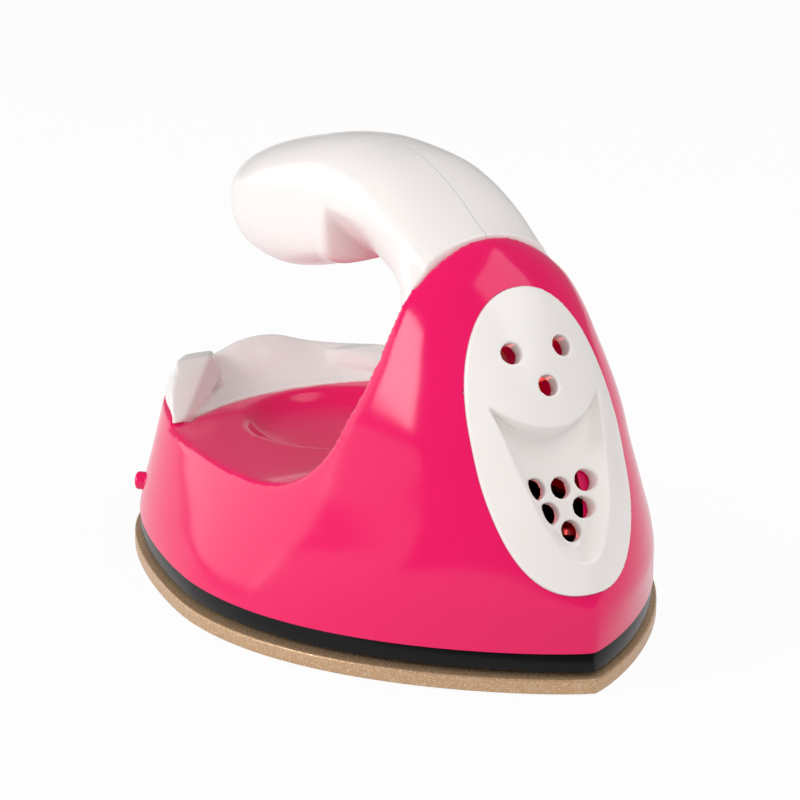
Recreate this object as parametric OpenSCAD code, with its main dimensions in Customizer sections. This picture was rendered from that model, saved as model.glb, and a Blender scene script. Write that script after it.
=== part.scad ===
// Small heated craft iron of toy size: coated metal sole plate, black
// heatproof ring, pink body shell with a smiling vent panel, white heel
// crown and a white hooked handle made of two halves.
// Origin: bottom centre of the sole plate. +X to the nose, +Y to the left
// side, +Z up. All lengths in millimetres.

/* [Sole plate] */
// Length of the sole plate, heel to nose
plate_length = 102; // [90:1:120]
// Width of the sole plate
plate_width = 70; // [62:1:82]
// Thickness of the sole plate
plate_thickness = 2.8; // [2.4:0.1:3.6]
// Rounding of the plate edges
plate_edge = 0.5; // [0.3:0.1:0.8]
// Height of the heater seat above the plate
seat_height = 1.6; // [1.2:0.1:2]

/* [Heatproof ring] */
// Height of the ring from plate to body shell
ring_height = 2.8; // [2.4:0.1:3.4]
// Air gap between ring and plate
ring_gap = 0.9; // [0.6:0.1:1.2]
// Inset of the ring foot from the plate edge
ring_inset = 2.2; // [1.6:0.1:2.8]
// Thickness of the ring floor
ring_floor = 1.6; // [1.2:0.1:2]
// Width of each standoff tab
tab_width = 3; // [2:0.5:4]

/* [Body shell] */
// Height of the cowl crest above the ground
crest_height = 57; // [52:1:64]
// Wall of the body shell
shell_wall = 2; // [1.6:0.1:2.4]
// Radius of the round dish in the saddle
dish_radius = 15.2; // [13:0.1:17]
// Depth of the dish
dish_depth = 2.8; // [2:0.1:3.4]
// Position of the dish centre along the body
dish_x = -16.5; // [-18:0.5:-14]
// Thickness of the pink lip round the heel crown
lip_wall = 1.1; // [0.9:0.1:1.5]

/* [Heel crown] */
// Height of the heel hump above the ground
hump_height = 26.5; // [25:0.5:29]
// Height of the two front horns above the ground
horn_height = 29; // [27:0.5:31]

/* [Face panel] */
// Height of the panel along its slope
panel_height = 42.4; // [38:0.2:46]
// Width of the panel
panel_width = 23; // [21:0.5:25]
// Amount the panel stands proud of the shell
panel_proud = 0.35; // [0.2:0.05:0.6]
// Thickness of the panel
panel_wall = 1.6; // [1.2:0.1:2]
// Depth of the smile recess
smile_depth = 3; // [2:0.2:3.6]
// Diameter of the vent holes
vent_diameter = 3; // [2.4:0.1:3.4]

/* [Handle] */
// Height of the handle top above the ground
handle_height = 65.5; // [62:0.5:70]
// Width of the handle grip
handle_width = 22; // [20:0.5:25]
// Wall of the handle halves
handle_wall = 2; // [1.6:0.1:2.6]
// Depth of the fine groove where the halves meet
seam_groove = 0.22; // [0.15:0.01:0.35]

/* [Button] */
// Diameter of the side button
button_diameter = 2.8; // [2.6:0.1:3.4]
// Amount the button stands proud of the shell
button_proud = 1.4; // [1.3:0.1:2.2]
// Travel of the button
button_travel = 1.2; // [0.8:0.1:1.4]
// Radial clearance of the button in its hole
button_clearance = 0.05; // [0.03:0.01:0.08]

/* [Inside parts] */
// Length of the ceramic heater
heater_length = 34; // [28:1:36]
// Width of the ceramic heater
heater_width = 20; // [16:1:22]
// Thickness of the ceramic heater
heater_thickness = 2.4; // [2:0.1:3]
// Diameter of the power socket barrel
socket_diameter = 7; // [6:0.1:7.4]
// Shank diameter of the screws
screw_shank = 2.4; // [2:0.1:2.6]
// Head diameter of the screws
screw_head = 4.8; // [4:0.1:5.2]

/* [Hidden] */
$fn = 40;
half_length = plate_length / 2;
half_width = plate_width / 2;
shell_base = plate_thickness + ring_height;
body_rise = crest_height - shell_base;
// Steps of the outline in each quarter and of the shell in height
quarter_steps = 14;
level_steps = 20;
hidden_steps = 8;
fit_gap = 0.15;
eps = 0.01;

// Waist position and curve exponents of the sole plate outline
plate_waist = half_length * -0.018;
plate_curve_shares = [1.5, 3.075, 2.056, 1.191];

// Shell levels from the base to the crest, as shares of the named sizes
level_z_shares = [0, 0.066, 0.125, 0.202, 0.28, 0.358, 0.436, 0.533,
    0.621, 0.708, 0.786, 0.864, 0.922, 0.961, 0.988, 1];
level_width_shares = [0.885, 0.88, 0.86, 0.826, 0.778, 0.735, 0.7, 0.643, 0.571, 0.503, 0.446,
    0.377, 0.291, 0.211, 0.126, 0.02];
level_nose_shares = [0.988, 0.992, 0.984, 0.957, 0.928, 0.899, 0.863, 0.817, 0.771, 0.721, 0.671,
    0.616, 0.569, 0.525, 0.486, 0.45];
level_waist_shares = [-0.018, -0.018, -0.018, -0.01, 0, 0.04, 0.098, 0.196,
    0.275, 0.333, 0.373, 0.392, 0.4, 0.4, 0.4, 0.4];
level_heel_shares = [-0.961, -0.957, -0.949, -0.941, -0.931, -0.92, -0.8, -0.6,
    -0.4, -0.2, 0, 0.1, 0.15, 0.2, 0.25, 0.3];
level_blunt_shares = [1.42, 1.5, 1.6, 1.74, 1.88, 1.98, 2.02, 2.02, 2.0, 1.98, 1.94, 1.86, 1.82,
    1.85, 1.9, 2];
heel_curve_shares = [2.2, 3.4];
nose_curve_share = 2.1;

// Side line of the opening between body and handle, heel to crest
rim_x_shares = [-1.2, -0.66, -0.57, -0.53, -0.506, -0.2, 0.078, 0.216, 0.284, 0.339, 0.384,
    0.418, 0.435, 0.441, 0.441];
rim_z_shares = [0.376, 0.375, 0.374, 0.367, 0.358, 0.362, 0.374, 0.397, 0.427, 0.475, 0.546,
    0.64, 0.754, 0.877, 1.2];
saddle_height = crest_height * 0.361;
crown_seat = saddle_height - 1.4;
cowl_rear = half_length * 0.441;

// Smooth curve through a list of values or points
function flow(l, u) = let(i = min(floor(u), len(l) - 2), f = u - i,
    a = l[max(i - 1, 0)], b = l[i], c = l[i + 1], d = l[min(i + 2, len(l) - 1)])
    0.5 * (2 * b + (c - a) * f + (2 * a - 5 * b + 4 * c - d) * f * f
    + (3 * b - a - 3 * c + d) * f * f * f);

// One quarter point of a plan outline
function quarter(a, s, w, x0, x1, p, q) =
    [x0 + (x1 - x0) * pow(sin(a), 2 / p), s * w * pow(cos(a), 2 / q)];

// Plan outline from half width, heel, waist, nose and curve exponents
function plan(w, xr, xm, xf, c) = let(k = quarter_steps, t = 90 / k) [
    [xf, 0],
    for (i = [k - 1:-1:1]) quarter(i * t, 1, w, xm, xf, c[2], c[3]),
    [xm, w],
    for (i = [1:k - 1]) quarter(i * t, 1, w, xm, xr, c[0], c[1]),
    [xr, 0],
    for (i = [k - 1:-1:1]) quarter(i * t, -1, w, xm, xr, c[0], c[1]),
    [xm, -w],
    for (i = [1:k - 1]) quarter(i * t, -1, w, xm, xf, c[2], c[3])];

plate_plan = plan(half_width, -half_length, plate_waist, half_length, plate_curve_shares);

// Shell outline at list position u, moved inward by d
function shell_ring(u, d) = let(
    z = shell_base + body_rise * flow(level_z_shares, u)
        - d * flow(level_z_shares, u),
    w = max(half_width * flow(level_width_shares, u) - d, 0.05),
    xf = half_length * flow(level_nose_shares, u) - d,
    xm = min(half_length * flow(level_waist_shares, u), xf - 0.1),
    xr = min(half_length * flow(level_heel_shares, u) + d, xm - 0.1),
    c = [heel_curve_shares[0], heel_curve_shares[1], nose_curve_share,
        flow(level_blunt_shares, u)])
    [for (p = plan(w, xr, xm, xf, c)) [p[0], p[1], z]];

// Solid through a stack of rings with the same number of points
module stack_solid(rings) {
    n = len(rings[0]);
    k = len(rings);
    polyhedron(points = [for (r = rings) each r], faces = [
        [for (i = [0:n - 1]) i],
        [for (i = [n - 1:-1:0]) (k - 1) * n + i],
        for (j = [0:k - 2]) for (i = [0:n - 1]) let(a = j * n + i,
            b = j * n + (i + 1) % n) each [[a, a + n, b + n], [a, b + n, b]]],
        convexity = 6);
}

module shell_solid(d, down = 0, k = level_steps) {
    m = len(level_z_shares) - 1;
    rings = [for (i = [0:k]) shell_ring(m * i / k, d)];
    stack_solid([if (down > 0) [for (p = rings[0]) [p[0], p[1], p[2] - down]],
        each rings]);
}

// Side line as points, grown by g all round
module opening_2d(g) {
    m = len(rim_x_shares) - 1;
    k = 40;
    offset(delta = g) polygon([
        for (i = [0:k]) [half_length * flow(rim_x_shares, m * i / k),
            crest_height * flow(rim_z_shares, m * i / k)],
        [-2 * half_length, 1.2 * crest_height]]);
}

module opening(g) {
    rotate([90, 0, 0]) linear_extrude(height = 2 * plate_width, center = true)
        opening_2d(g);
}

// Plan outline of the shell at the heel lip height
lip_level = 5;
module lip_plan(d) {
    r = shell_ring(lip_level, d);
    polygon([for (p = r) [p[0], p[1]]]);
}

// Seam between saddle and crown, an arc open to the front
seam_x = half_length * -0.667;
seam_radius = plate_width * 0.511;
seam_front_x = half_length * -0.506;
module seam_disc(g) {
    translate([seam_x + seam_radius, 0]) circle(r = seam_radius + g, $fn = 96);
}
module crown_plan(g) {
    difference() {
        intersection() {
            lip_plan(lip_wall - g);
            translate([-plate_length, -plate_width])
                square([plate_length + seam_front_x + g, 2 * plate_width]);
        }
        seam_disc(-g);
    }
}

/* Dish */
module dish(d) {
    translate([dish_x, 0, saddle_height]) rotate_extrude($fn = 72) polygon([
        [0, -dish_depth - d],
        [dish_radius * 0.55 + d * 0.4, -dish_depth * 0.96 - d],
        [dish_radius * 0.8 + d * 0.6, -dish_depth * 0.8 - d],
        [dish_radius * 0.92 + d, -dish_depth * 0.45 - d],
        [dish_radius + d, -d * 0.5],
        [dish_radius + d + 0.3, 0.2],
        [dish_radius + d + 0.3, dish_depth],
        [0, dish_depth]]);
}

/* Panel placing */
panel_top_x = half_length * 0.588;
panel_top_z = crest_height * 0.904;
panel_low_x = half_length * 0.967;
panel_low_z = crest_height * 0.237;
panel_lean = atan2(panel_low_x - panel_top_x, panel_top_z - panel_low_z);
// Places children on the panel: local x to the left side, y up the slope
module on_panel() {
    translate([(panel_top_x + panel_low_x) / 2, 0, (panel_top_z + panel_low_z) / 2])
        rotate([0, -panel_lean, 0]) rotate([90, 0, 90]) children();
}
panel_lower_share = 2.35;
panel_upper_share = 2.2;
module panel_2d(g) {
    k = 28;
    h = panel_height / 2;
    w = panel_width / 2;
    offset(delta = g) polygon([for (i = [0:4 * k - 1]) let(a = i * 90 / k,
        e = sin(a) < 0 ? panel_lower_share : panel_upper_share)
        [w * sign(cos(a)) * pow(abs(cos(a)), 2 / e),
         h * sign(sin(a)) * pow(abs(sin(a)), 2 / e)]]);
}
module panel_prism(g) {
    on_panel() translate([0, 0, -panel_width]) linear_extrude(height = 2 * panel_width)
        panel_2d(g);
}
// Smile outline: an upper arc and a deep lower bow
smile_corner_x = panel_width * 0.41;
smile_corner_y = panel_height * 0.16;
smile_lip_y = panel_height * 0.03;
smile_low_y = panel_height * -0.43;
smile_steps = 18;
smile_base = smile_depth * -0.5;
smile_slope_share = 0.42;
smile_fall = panel_height * 0.05;
// Smile outline drawn in by share f, most at the bottom
function smile_points(f) = let(k = smile_steps, h = smile_corner_y - smile_low_y) [
    for (i = [0:k]) let(s = 1 - 2 * i / k) [smile_corner_x * s,
        smile_lip_y + (smile_corner_y - smile_lip_y) * s * s - f * (1 - s * s) * smile_fall],
    for (i = [1:k - 1]) let(s = -1 + 2 * i / k, t = 1 - pow(abs(s), 2.1),
        x = smile_corner_x * s, y = smile_low_y + h * pow(abs(s), 2.1))
        [x * (1 - f * pow(t, 0.5)), y + f * t * h * 0.35]];
// Pocket round the backing of the smile
module smile_2d(g) {
    intersection() {
        offset(r = g) polygon(smile_points(0));
        panel_2d(fit_gap * 0.5);
    }
}
// Drafted backing of the smile
back_width_share = 1.13;
back_height_share = 1.11;
back_draft_share = 0.04;
smile_mid_y = smile_low_y * 0.38;
module smile_back() {
    on_panel() stack_solid([for (v = [[0, -back_draft_share], [1, back_draft_share]])
        [for (p = smile_points(0)) [p[0] * (back_width_share + v[1]),
            smile_mid_y + (p[1] - smile_mid_y) * (back_height_share + v[1]),
            smile_base - panel_wall + v[0] * panel_width]]]);
}
module smile_cut() {
    // Floor, sloping walls and the way out
    levels = [[0, 1], [0.12, 0.8], [0.35, 0.5], [0.7, 0.15], [1, 0], [4, -0.2]];
    on_panel() stack_solid([for (v = levels) [for (p = smile_points(smile_slope_share * v[1]))
        [p[0], p[1], smile_base + smile_depth * v[0]]]]);
}

/* Body shell */
module seat_wall() {
    // Pink wall behind the face panel
    difference() {
        panel_prism(shell_wall * 0.8);
        shell_solid(panel_wall + shell_wall, 0, hidden_steps);
    }
}
boss_x = half_length * 0.745;
heel_post_x = half_length * -0.784;
heel_post_y = half_width * 0.343;
heel_post_top = crown_seat - 3.5;
module post(r, z0, z1) translate([0, 0, z0]) cylinder(r = r, h = z1 - z0);

module shell_outer() {
    difference() {
        shell_solid(0);
        opening(0);
        dish(0);
        // Seat of the heel crown and the deck in front of it
        translate([0, 0, crown_seat]) linear_extrude(height = crest_height)
            crown_plan(0);
        translate([0, 0, saddle_height]) linear_extrude(height = crest_height)
            intersection() {
                lip_plan(lip_wall);
                translate([-plate_length, -plate_width])
                    square([plate_length + dish_x, 2 * plate_width]);
            }
    }
}
module shell_room() {
    // Hollow of the shell
    difference() {
        shell_solid(shell_wall, ring_height, hidden_steps);
        opening(shell_wall);
        translate([dish_x, 0, saddle_height - dish_depth - shell_wall])
            cylinder(r = dish_radius + shell_wall, h = crest_height);
        translate([-plate_length, -plate_width, crown_seat - shell_wall])
            cube([plate_length + dish_x, 2 * plate_width, crest_height]);
    }
}

// Button placing: local z points out of the shell
button_x = half_length * -0.765;
button_y = half_width * -0.682;
button_z = shell_base + 2.5;
button_turn = -132;
module at_button() {
    translate([button_x, button_y, button_z]) rotate([0, 0, button_turn])
        rotate([0, 90, 0]) children();
}
button_radius = button_diameter / 2;
flange_radius = button_radius + 0.9;
flange_thick = 1;
shoulder_depth = shell_wall + 0.6;
flange_top = shoulder_depth + 0.05;
collar_depth = flange_top + flange_thick + button_travel + 0.4;

socket_z = shell_base + 6.4;
socket_radius = socket_diameter / 2;
socket_x = half_length * -0.95;

module body_shell() {
    color([1, 0.16, 0.44]) difference() {
        shell_outer();
        difference() {
            shell_room();
            seat_wall();
            // Button collar
            at_button() translate([0, 0, -collar_depth])
                cylinder(r = flange_radius + 1.1, h = collar_depth + 1);
            // Screw bosses at heel and nose
            for (s = [-1, 1]) translate([heel_post_x, s * heel_post_y, 0])
                post(screw_head * 0.85, heel_post_top, crown_seat);
            translate([boss_x, 0, 0]) post(screw_head * 0.65, shell_base, shell_base + 8);
            translate([boss_x, -shell_wall / 2, shell_base + 1.5])
                cube([half_length * 0.24, shell_wall, 6.5]);
            // Ribs beside the handle tongue
            for (s = [-1, 1]) translate([cowl_rear, s * handle_width * 0.42 - shell_wall / 2,
                crest_height * 0.62]) cube([half_length * 0.14, shell_wall, crest_height * 0.2]);
        }
        // Seat and pocket of the face panel
        difference() {
            panel_prism(fit_gap);
            shell_solid(panel_wall + fit_gap, 0, hidden_steps);
        }
        on_panel() translate([0, 0, smile_base - panel_wall - fit_gap])
            linear_extrude(height = panel_width) smile_2d(panel_wall + fit_gap);
        // Window for the handle tongue
        translate([cowl_rear - 2 * shell_wall, 0, 0]) tongue_block(fit_gap);
        // Button bore and flange room
        at_button() {
            translate([0, 0, -shoulder_depth - eps])
                cylinder(r = button_radius + button_clearance, h = shoulder_depth + 3);
            translate([0, 0, -collar_depth - 2])
                cylinder(r = flange_radius + 0.15, h = collar_depth + 2 - shoulder_depth);
        }
        // Socket hole
        translate([-half_length, 0, socket_z]) rotate([0, 90, 0])
            cylinder(r = socket_radius + 0.1, h = half_length * 0.2);
        // Screw holes
        for (s = [-1, 1]) translate([heel_post_x, s * heel_post_y, 0]) {
            post(screw_shank / 2 + 0.2, heel_post_top - 1, crown_seat + 1);
            post(screw_head / 2 + 0.2, crown_seat - 1.9, crown_seat + 1);
        }
        translate([boss_x, 0, 0]) post(screw_shank / 2, shell_base - 1, shell_base + 6);
    }
}

// Tongue of the handle inside the cowl
tongue_low = crest_height * 0.64;
tongue_high = crest_height * 0.82;
tongue_half = handle_width * 0.3;
tongue_length = half_length * 0.12;
module tongue_block(g) {
    translate([0, -tongue_half - g, tongue_low - g])
        cube([tongue_length + 2 * shell_wall + g, 2 * (tongue_half + g),
            tongue_high - tongue_low + 2 * g]);
}

/* Sole plate */
module plate_slice(z, h, d) translate([0, 0, z]) linear_extrude(height = h)
    offset(delta = -d) polygon(plate_plan);
pad_x = half_length * -0.04;
pad_length = heater_length + 14;
pad_width = heater_width + 4;
plate_screw_x = half_length * 0.157;
plate_screw_y = half_width * 0.69;
plate_screw_heel_x = half_length * -0.667;
cutout_x = half_length * 0.549;
cutout_radius = 4.4;
module plate_screw_spots() {
    for (s = [-1, 1]) translate([plate_screw_x, s * plate_screw_y, 0]) children();
    translate([plate_screw_heel_x, 0, 0]) children();
}
clamp_screw_x = heater_length / 2 + 4.2;
module clamp_screw_spots() {
    for (s = [-1, 1]) translate([pad_x + s * clamp_screw_x, 0, 0]) children();
}
seat_top = plate_thickness + seat_height;
module soleplate() {
    color([0.78, 0.65, 0.49]) difference() {
        union() {
            rings = [for (v = [[0, 1], [0.3, 0.3], [1, 0]])
                [plate_edge * v[0], plate_edge * v[1]]];
            stack_solid([
                for (v = rings) [for (p = plan(half_width - v[1], v[1] - half_length,
                    plate_waist, half_length - v[1], plate_curve_shares)) [p[0], p[1], v[0]]],
                for (v = [rings[2], rings[1], rings[0]]) [for (p = plan(half_width - v[1],
                    v[1] - half_length, plate_waist, half_length - v[1], plate_curve_shares))
                    [p[0], p[1], plate_thickness - v[0]]]]);
            translate([pad_x - pad_length / 2, -pad_width / 2, plate_thickness - eps])
                cube([pad_length, pad_width, seat_height + eps]);
            translate([cutout_x, 0, 0]) post(cutout_radius + 1.1, plate_thickness - eps, seat_top);
        }
        plate_screw_spots() post(screw_shank / 2, plate_thickness * 0.4, plate_thickness * 2);
        clamp_screw_spots() post(screw_shank / 2, plate_thickness * 0.4, seat_top * 2);
    }
}

/* Heatproof ring */
ring_bottom = plate_thickness + ring_gap;
function base_ring(d, z) = [for (p = shell_ring(0, d)) [p[0], p[1], z]];
function foot_ring(d, z) = [for (p = plan(half_width - d, d - half_length, plate_waist,
    half_length - d * 0.6, plate_curve_shares)) [p[0], p[1], z]];
ring_top_inset = 0.6;
ring_band = 7;
floor_top = ring_bottom + ring_floor;
module ring_solid(d, z0, z1) {
    // Flared band between the plate outline and the shell outline
    stack_solid([foot_ring(ring_inset + d, z0), base_ring(ring_top_inset + d, z1)]);
}
module heat_shield_ring() {
    color([0.05, 0.05, 0.055]) difference() {
        union() {
            difference() {
                ring_solid(0, ring_bottom, shell_base);
                // Opening over the heater
                translate([0, 0, ring_bottom - 1]) linear_extrude(height = ring_height + 2)
                    intersection() {
                        offset(delta = -ring_band) polygon([for (p = shell_ring(0, 0)) [p[0], p[1]]]);
                        translate([half_length * -0.54, -plate_width])
                            square([plate_length, 2 * plate_width]);
                    }
                // Room above the floor
                translate([0, 0, floor_top]) linear_extrude(height = ring_height)
                    offset(delta = -shell_wall * 1.6) polygon([for (p = shell_ring(0, 0)) [p[0], p[1]]]);
            }
            // Locating rim inside the shell
            translate([0, 0, floor_top - eps]) linear_extrude(height = ring_height * 0.64)
                difference() {
                    offset(delta = -shell_wall - 0.6) polygon([for (p = shell_ring(0, 0)) [p[0], p[1]]]);
                    offset(delta = -shell_wall - 1.9) polygon([for (p = shell_ring(0, 0)) [p[0], p[1]]]);
                    // Gap at the button collar
                    translate([button_x, button_y]) circle(r = flange_radius + 3);
                }
            // Standoff tabs and the closed skirt at the nose
            intersection() {
                difference() {
                    translate([0, 0, 0]) stack_solid([foot_ring(ring_inset, plate_thickness),
                        foot_ring(ring_inset, ring_bottom + eps)]);
                    translate([0, 0, -1]) linear_extrude(height = shell_base + 2)
                        offset(delta = -1.6) polygon([for (p = foot_ring(ring_inset, 0)) [p[0], p[1]]]);
                }
                union() {
                    translate([half_length * 0.45, -plate_width, 0])
                        cube([plate_length, 2 * plate_width, shell_base]);
                    for (x = [-0.7, -0.42, -0.14, 0.14]) translate([half_length * x - tab_width / 2,
                        -plate_width, 0]) cube([tab_width, 2 * plate_width, shell_base]);
                    for (s = [-1, 1]) translate([-plate_length, s * half_width * 0.35 - tab_width / 2, 0])
                        cube([plate_length * 0.7, tab_width, shell_base]);
                }
            }
            // Screw feet on the plate
            plate_screw_spots() post(screw_head * 0.65, plate_thickness, floor_top);
            // Heel posts for the shell screws
            for (s = [-1, 1]) translate([heel_post_x, s * heel_post_y, 0])
                post(screw_head * 0.65, ring_bottom, heel_post_top - 0.1);
            // Posts for the circuit board
            for (s = [-1, 1]) translate([board_x, s * board_width * 0.36, 0])
                post(2, ring_bottom, board_z);
            // Foot of the push switch
            at_button() translate([board_z * 0.1, -switch_width / 2, -switch_back])
                cube([button_z - floor_top, switch_width, switch_back - switch_front]);
            // Tab for the nose screw
            translate([boss_x, 0, 0]) post(screw_head * 0.85, ring_bottom, shell_base - 0.1);
            translate([boss_x, -screw_head * 0.6, ring_bottom])
                cube([half_length * 0.14, screw_head * 1.2, ring_floor]);
        }
        plate_screw_spots() post(screw_shank / 2 + 0.15, 0, shell_base * 2);
        for (s = [-1, 1]) translate([heel_post_x, s * heel_post_y, 0])
            post(screw_shank / 2, heel_post_top - 8, heel_post_top + 1);
        translate([boss_x, 0, 0]) {
            post(screw_shank / 2 + 0.2, 0, shell_base * 2);
            post(screw_head / 2 + 0.2, 0, ring_bottom + 0.6);
        }
    }
}

/* Heel crown */
// Top edge of the crown from the middle of the heel to a horn
crown_top_shares = [1, 0.985, 0.945, 0.92, 0.908, 0.9, 0.89, 0.88, 0.86, 0.84];
// Rise across the crown from the seam outwards: radius shares and height shares
rise_r_shares = [0, 0.2, 0.4, 0.6, 0.74, 0.82, 0.9, 1, 1.2];
rise_z_shares = [0, 0.1, 0.34, 0.66, 0.9, 1, 0.95, 0.6, 0.3];
crown_inset = 0.2;
far_drop = 0.08;
crown_depth = 13;
crown_half_turn = 41;
module crown_field(low) {
    // Ramp surface above the crown plan, in radial strips
    m = len(crown_top_shares) - 1;
    k = 26;
    q = len(rise_r_shares);
    cx = seam_x + seam_radius;
    function spot(a, j, z) = let(rr = seam_radius - 0.6 + crown_depth * rise_r_shares[j])
        [cx + rr * cos(a), rr * sin(a), z];
    rings = [for (i = [k:-1:-k]) let(a = 180 - i / k * crown_half_turn,
        drop = i < 0 ? 0 : far_drop * i * i / k / k,
        t = hump_height * (flow(crown_top_shares, m * abs(i) / k) - drop)) [
        for (j = [0:q - 1]) spot(a, j, saddle_height + (t - saddle_height) * rise_z_shares[j]),
        spot(a, q - 1, low), spot(a, 0, low)]];
    stack_solid(rings);
}
// Corners of the wedges beside the hump, as shares of half length, half width
// and crest height
near_wedge_shares = [
    [-0.502, 0.649, 0.363], [-0.549, 0.757, 0.396], [-0.741, 0.586, 0.463],
    [-0.749, 0.331, 0.465], [-0.853, 0.429, 0.453], [-0.843, 0.257, 0.453],
    [-0.667, 0.417, 0.368], [-0.745, 0.271, 0.404]];
far_wedge_shares = [
    [-0.502, 0.649, 0.363], [-0.549, 0.757, 0.386], [-0.741, 0.586, 0.419],
    [-0.749, 0.331, 0.421], [-0.853, 0.429, 0.409], [-0.843, 0.257, 0.409],
    [-0.667, 0.417, 0.368], [-0.745, 0.271, 0.393]];
// Corners and bottom of the small pit beside the near wedge
pit_shares = [
    [-0.792, 0.263, 0.432], [-0.729, 0.229, 0.396], [-0.663, 0.423, 0.368],
    [-0.753, 0.320, 0.372]];
module wedge(points, s) {
    hull() for (p = points) for (z = [crown_seat, crest_height * p[2] - 0.3])
        translate([half_length * p[0], s * half_width * p[1], z]) sphere(r = 0.3, $fn = 8);
}
// Room of the crown: inside the lip below, flush with the shell above the side line
module crown_room() {
    translate([0, 0, crown_seat]) linear_extrude(height = crest_height)
        crown_plan(-fit_gap * 0.6);
    difference() {
        intersection() {
            shell_solid(crown_inset);
            opening(-fit_gap);
            translate([-plate_length, -plate_width, crown_seat]) cube([plate_length
                + seam_front_x - fit_gap * 0.6, 2 * plate_width, crest_height]);
        }
        translate([0, 0, crown_seat - 1]) linear_extrude(height = crest_height)
            seam_disc(fit_gap * 0.6);
    }
}
module heel_crown() {
    color([0.95, 0.93, 0.91]) difference() {
        intersection() {
            union() {
                crown_field(crown_seat);
                wedge(near_wedge_shares, -1);
                wedge(far_wedge_shares, 1);
            }
            crown_room();
        }
        hull() for (p = pit_shares) translate([half_length * p[0], -half_width * p[1],
            crest_height * p[2]]) sphere(r = 0.25, $fn = 8);
        // Screw head pockets below
        for (s = [-1, 1]) translate([heel_post_x, s * heel_post_y, 0])
            post(screw_head / 2 + 0.3, crown_seat - 1, crown_seat + 0.6);
    }
}

/* Face panel */
hole_points = [[0.17, 0.289], [-0.17, 0.289], [0, 0.168],
    [0.17, -0.14], [0, -0.15], [-0.17, -0.14],
    [0.115, -0.223], [-0.115, -0.223], [0, -0.29]];
module face_panel() {
    color([0.95, 0.93, 0.91]) difference() {
        intersection() {
            shell_solid(-panel_proud);
            union() {
                difference() {
                    panel_prism(0);
                    shell_solid(panel_wall, 0, hidden_steps);
                }
                smile_back();
            }
        }
        smile_cut();
        on_panel() for (p = hole_points) translate([p[0] * panel_width, p[1] * panel_height,
            -panel_width]) cylinder(r = vent_diameter / 2, h = 2 * panel_width, $fn = 28);
    }
}

/* Handle */
// Stations from the free end to the cowl
handle_x_shares = [-0.828, -0.808, -0.76, -0.68, -0.57, -0.45, -0.3, -0.17, -0.1, -0.08, -0.05,
    0.03, 0.12, 0.22, 0.31, 0.38, 0.43, 0.46];
handle_top_shares = [0.79, 0.835, 0.875, 0.903, 0.932, 0.957, 0.984, 0.998, 1, 1, 0.999, 0.995,
    0.984, 0.958, 0.926, 0.894, 0.874, 0.867];
handle_edge_shares = [0.74, 0.765, 0.79, 0.81, 0.83, 0.845, 0.86, 0.866, 0.868, 0.868, 0.868,
    0.868, 0.868, 0.862, 0.85, 0.832, 0.815, 0.808];
handle_low_shares = [0.705, 0.69, 0.674, 0.66, 0.652, 0.657, 0.686, 0.722, 0.733, 0.733, 0.73,
    0.716, 0.694, 0.668, 0.638, 0.604, 0.568, 0.55];
handle_half_shares = [0.15, 0.4, 0.66, 0.82, 0.9, 0.93, 0.94, 0.94, 0.94, 0.94, 0.94, 0.95, 0.96,
    0.96, 0.94, 0.91, 0.89, 0.89];
// First and second pull points of the lower curve: width and height
pull_a_width_shares = [0.15, 0.4, 0.68, 0.84, 0.92, 0.96, 0.97, 0.96, 0.95, 0.72, 0.68, 0.7,
    0.76, 0.86, 1.0, 1.2, 1.42, 1.5];
pull_a_height_shares = [0.74, 0.73, 0.715, 0.705, 0.7, 0.702, 0.71, 0.73, 0.74, 0.8, 0.8, 0.8,
    0.79, 0.78, 0.765, 0.745, 0.73, 0.72];
pull_b_width_shares = [0.1, 0.25, 0.5, 0.68, 0.78, 0.84, 0.86, 0.85, 0.84, 0.36, 0.3, 0.3, 0.36,
    0.5, 0.8, 1.15, 1.45, 1.6];
pull_b_height_shares = [0.705, 0.69, 0.674, 0.66, 0.652, 0.657, 0.681, 0.702, 0.716, 0.75, 0.749,
    0.738, 0.716, 0.69, 0.656, 0.62, 0.592, 0.575];
// Fullness of the shoulder
shoulder_shares = [0.55, 0.55, 0.56, 0.58, 0.6, 0.62, 0.64, 0.68, 0.7, 0.7,
    0.72, 0.74, 0.76, 0.74, 0.66, 0.56, 0.5, 0.5];
function curve4(a, b, c, d, t) = a * pow(1 - t, 3) + 3 * b * t * pow(1 - t, 2)
    + 3 * c * t * t * (1 - t) + d * pow(t, 3);
function handle_ring(u, d, s) = let(
    hh = handle_height, hw = handle_width / 2,
    x = half_length * flow(handle_x_shares, u),
    zt = hh * flow(handle_top_shares, u) - d,
    ze = hh * flow(handle_edge_shares, u),
    zb = hh * flow(handle_low_shares, u) + d,
    we = max(hw * flow(handle_half_shares, u) - d, 0.6),
    wa = max(hw * flow(pull_a_width_shares, u) - d, 0.5),
    za = hh * flow(pull_a_height_shares, u),
    wb = max(hw * flow(pull_b_width_shares, u) - d, 0.4),
    zbb = hh * flow(pull_b_height_shares, u) + d,
    sh = flow(shoulder_shares, u),
    g = d > 0 ? eps : seam_groove, k = d > 0 ? 5 : 8,
    top = [for (i = [0:k]) curve4([g, zt], [we * sh, zt], [we, ze + (zt - ze) * sh * 0.85],
        [we, ze], i / k)],
    low = [for (i = [1:k]) curve4([we, ze], [wa, za], [wb, zbb], [g, zb], i / k)])
    [[x, 0, zt - g], for (p = top) [x, s * p[0], p[1]],
     for (p = low) [x, s * p[0], p[1]], [x, 0, zb + g]];
module handle_loft(d, s, u0, u1, k = 30) {
    rings = [for (i = [0:k]) handle_ring(u0 + (u1 - u0) * i / k, d, s)];
    if (s > 0) stack_solid([for (r = rings) [for (j = [len(r) - 1:-1:0]) r[j]]]);
    else stack_solid(rings);
}
handle_screw_x_shares = [-0.45, 0.16];
handle_screw_z_shares = [0.82, 0.83];
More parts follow.
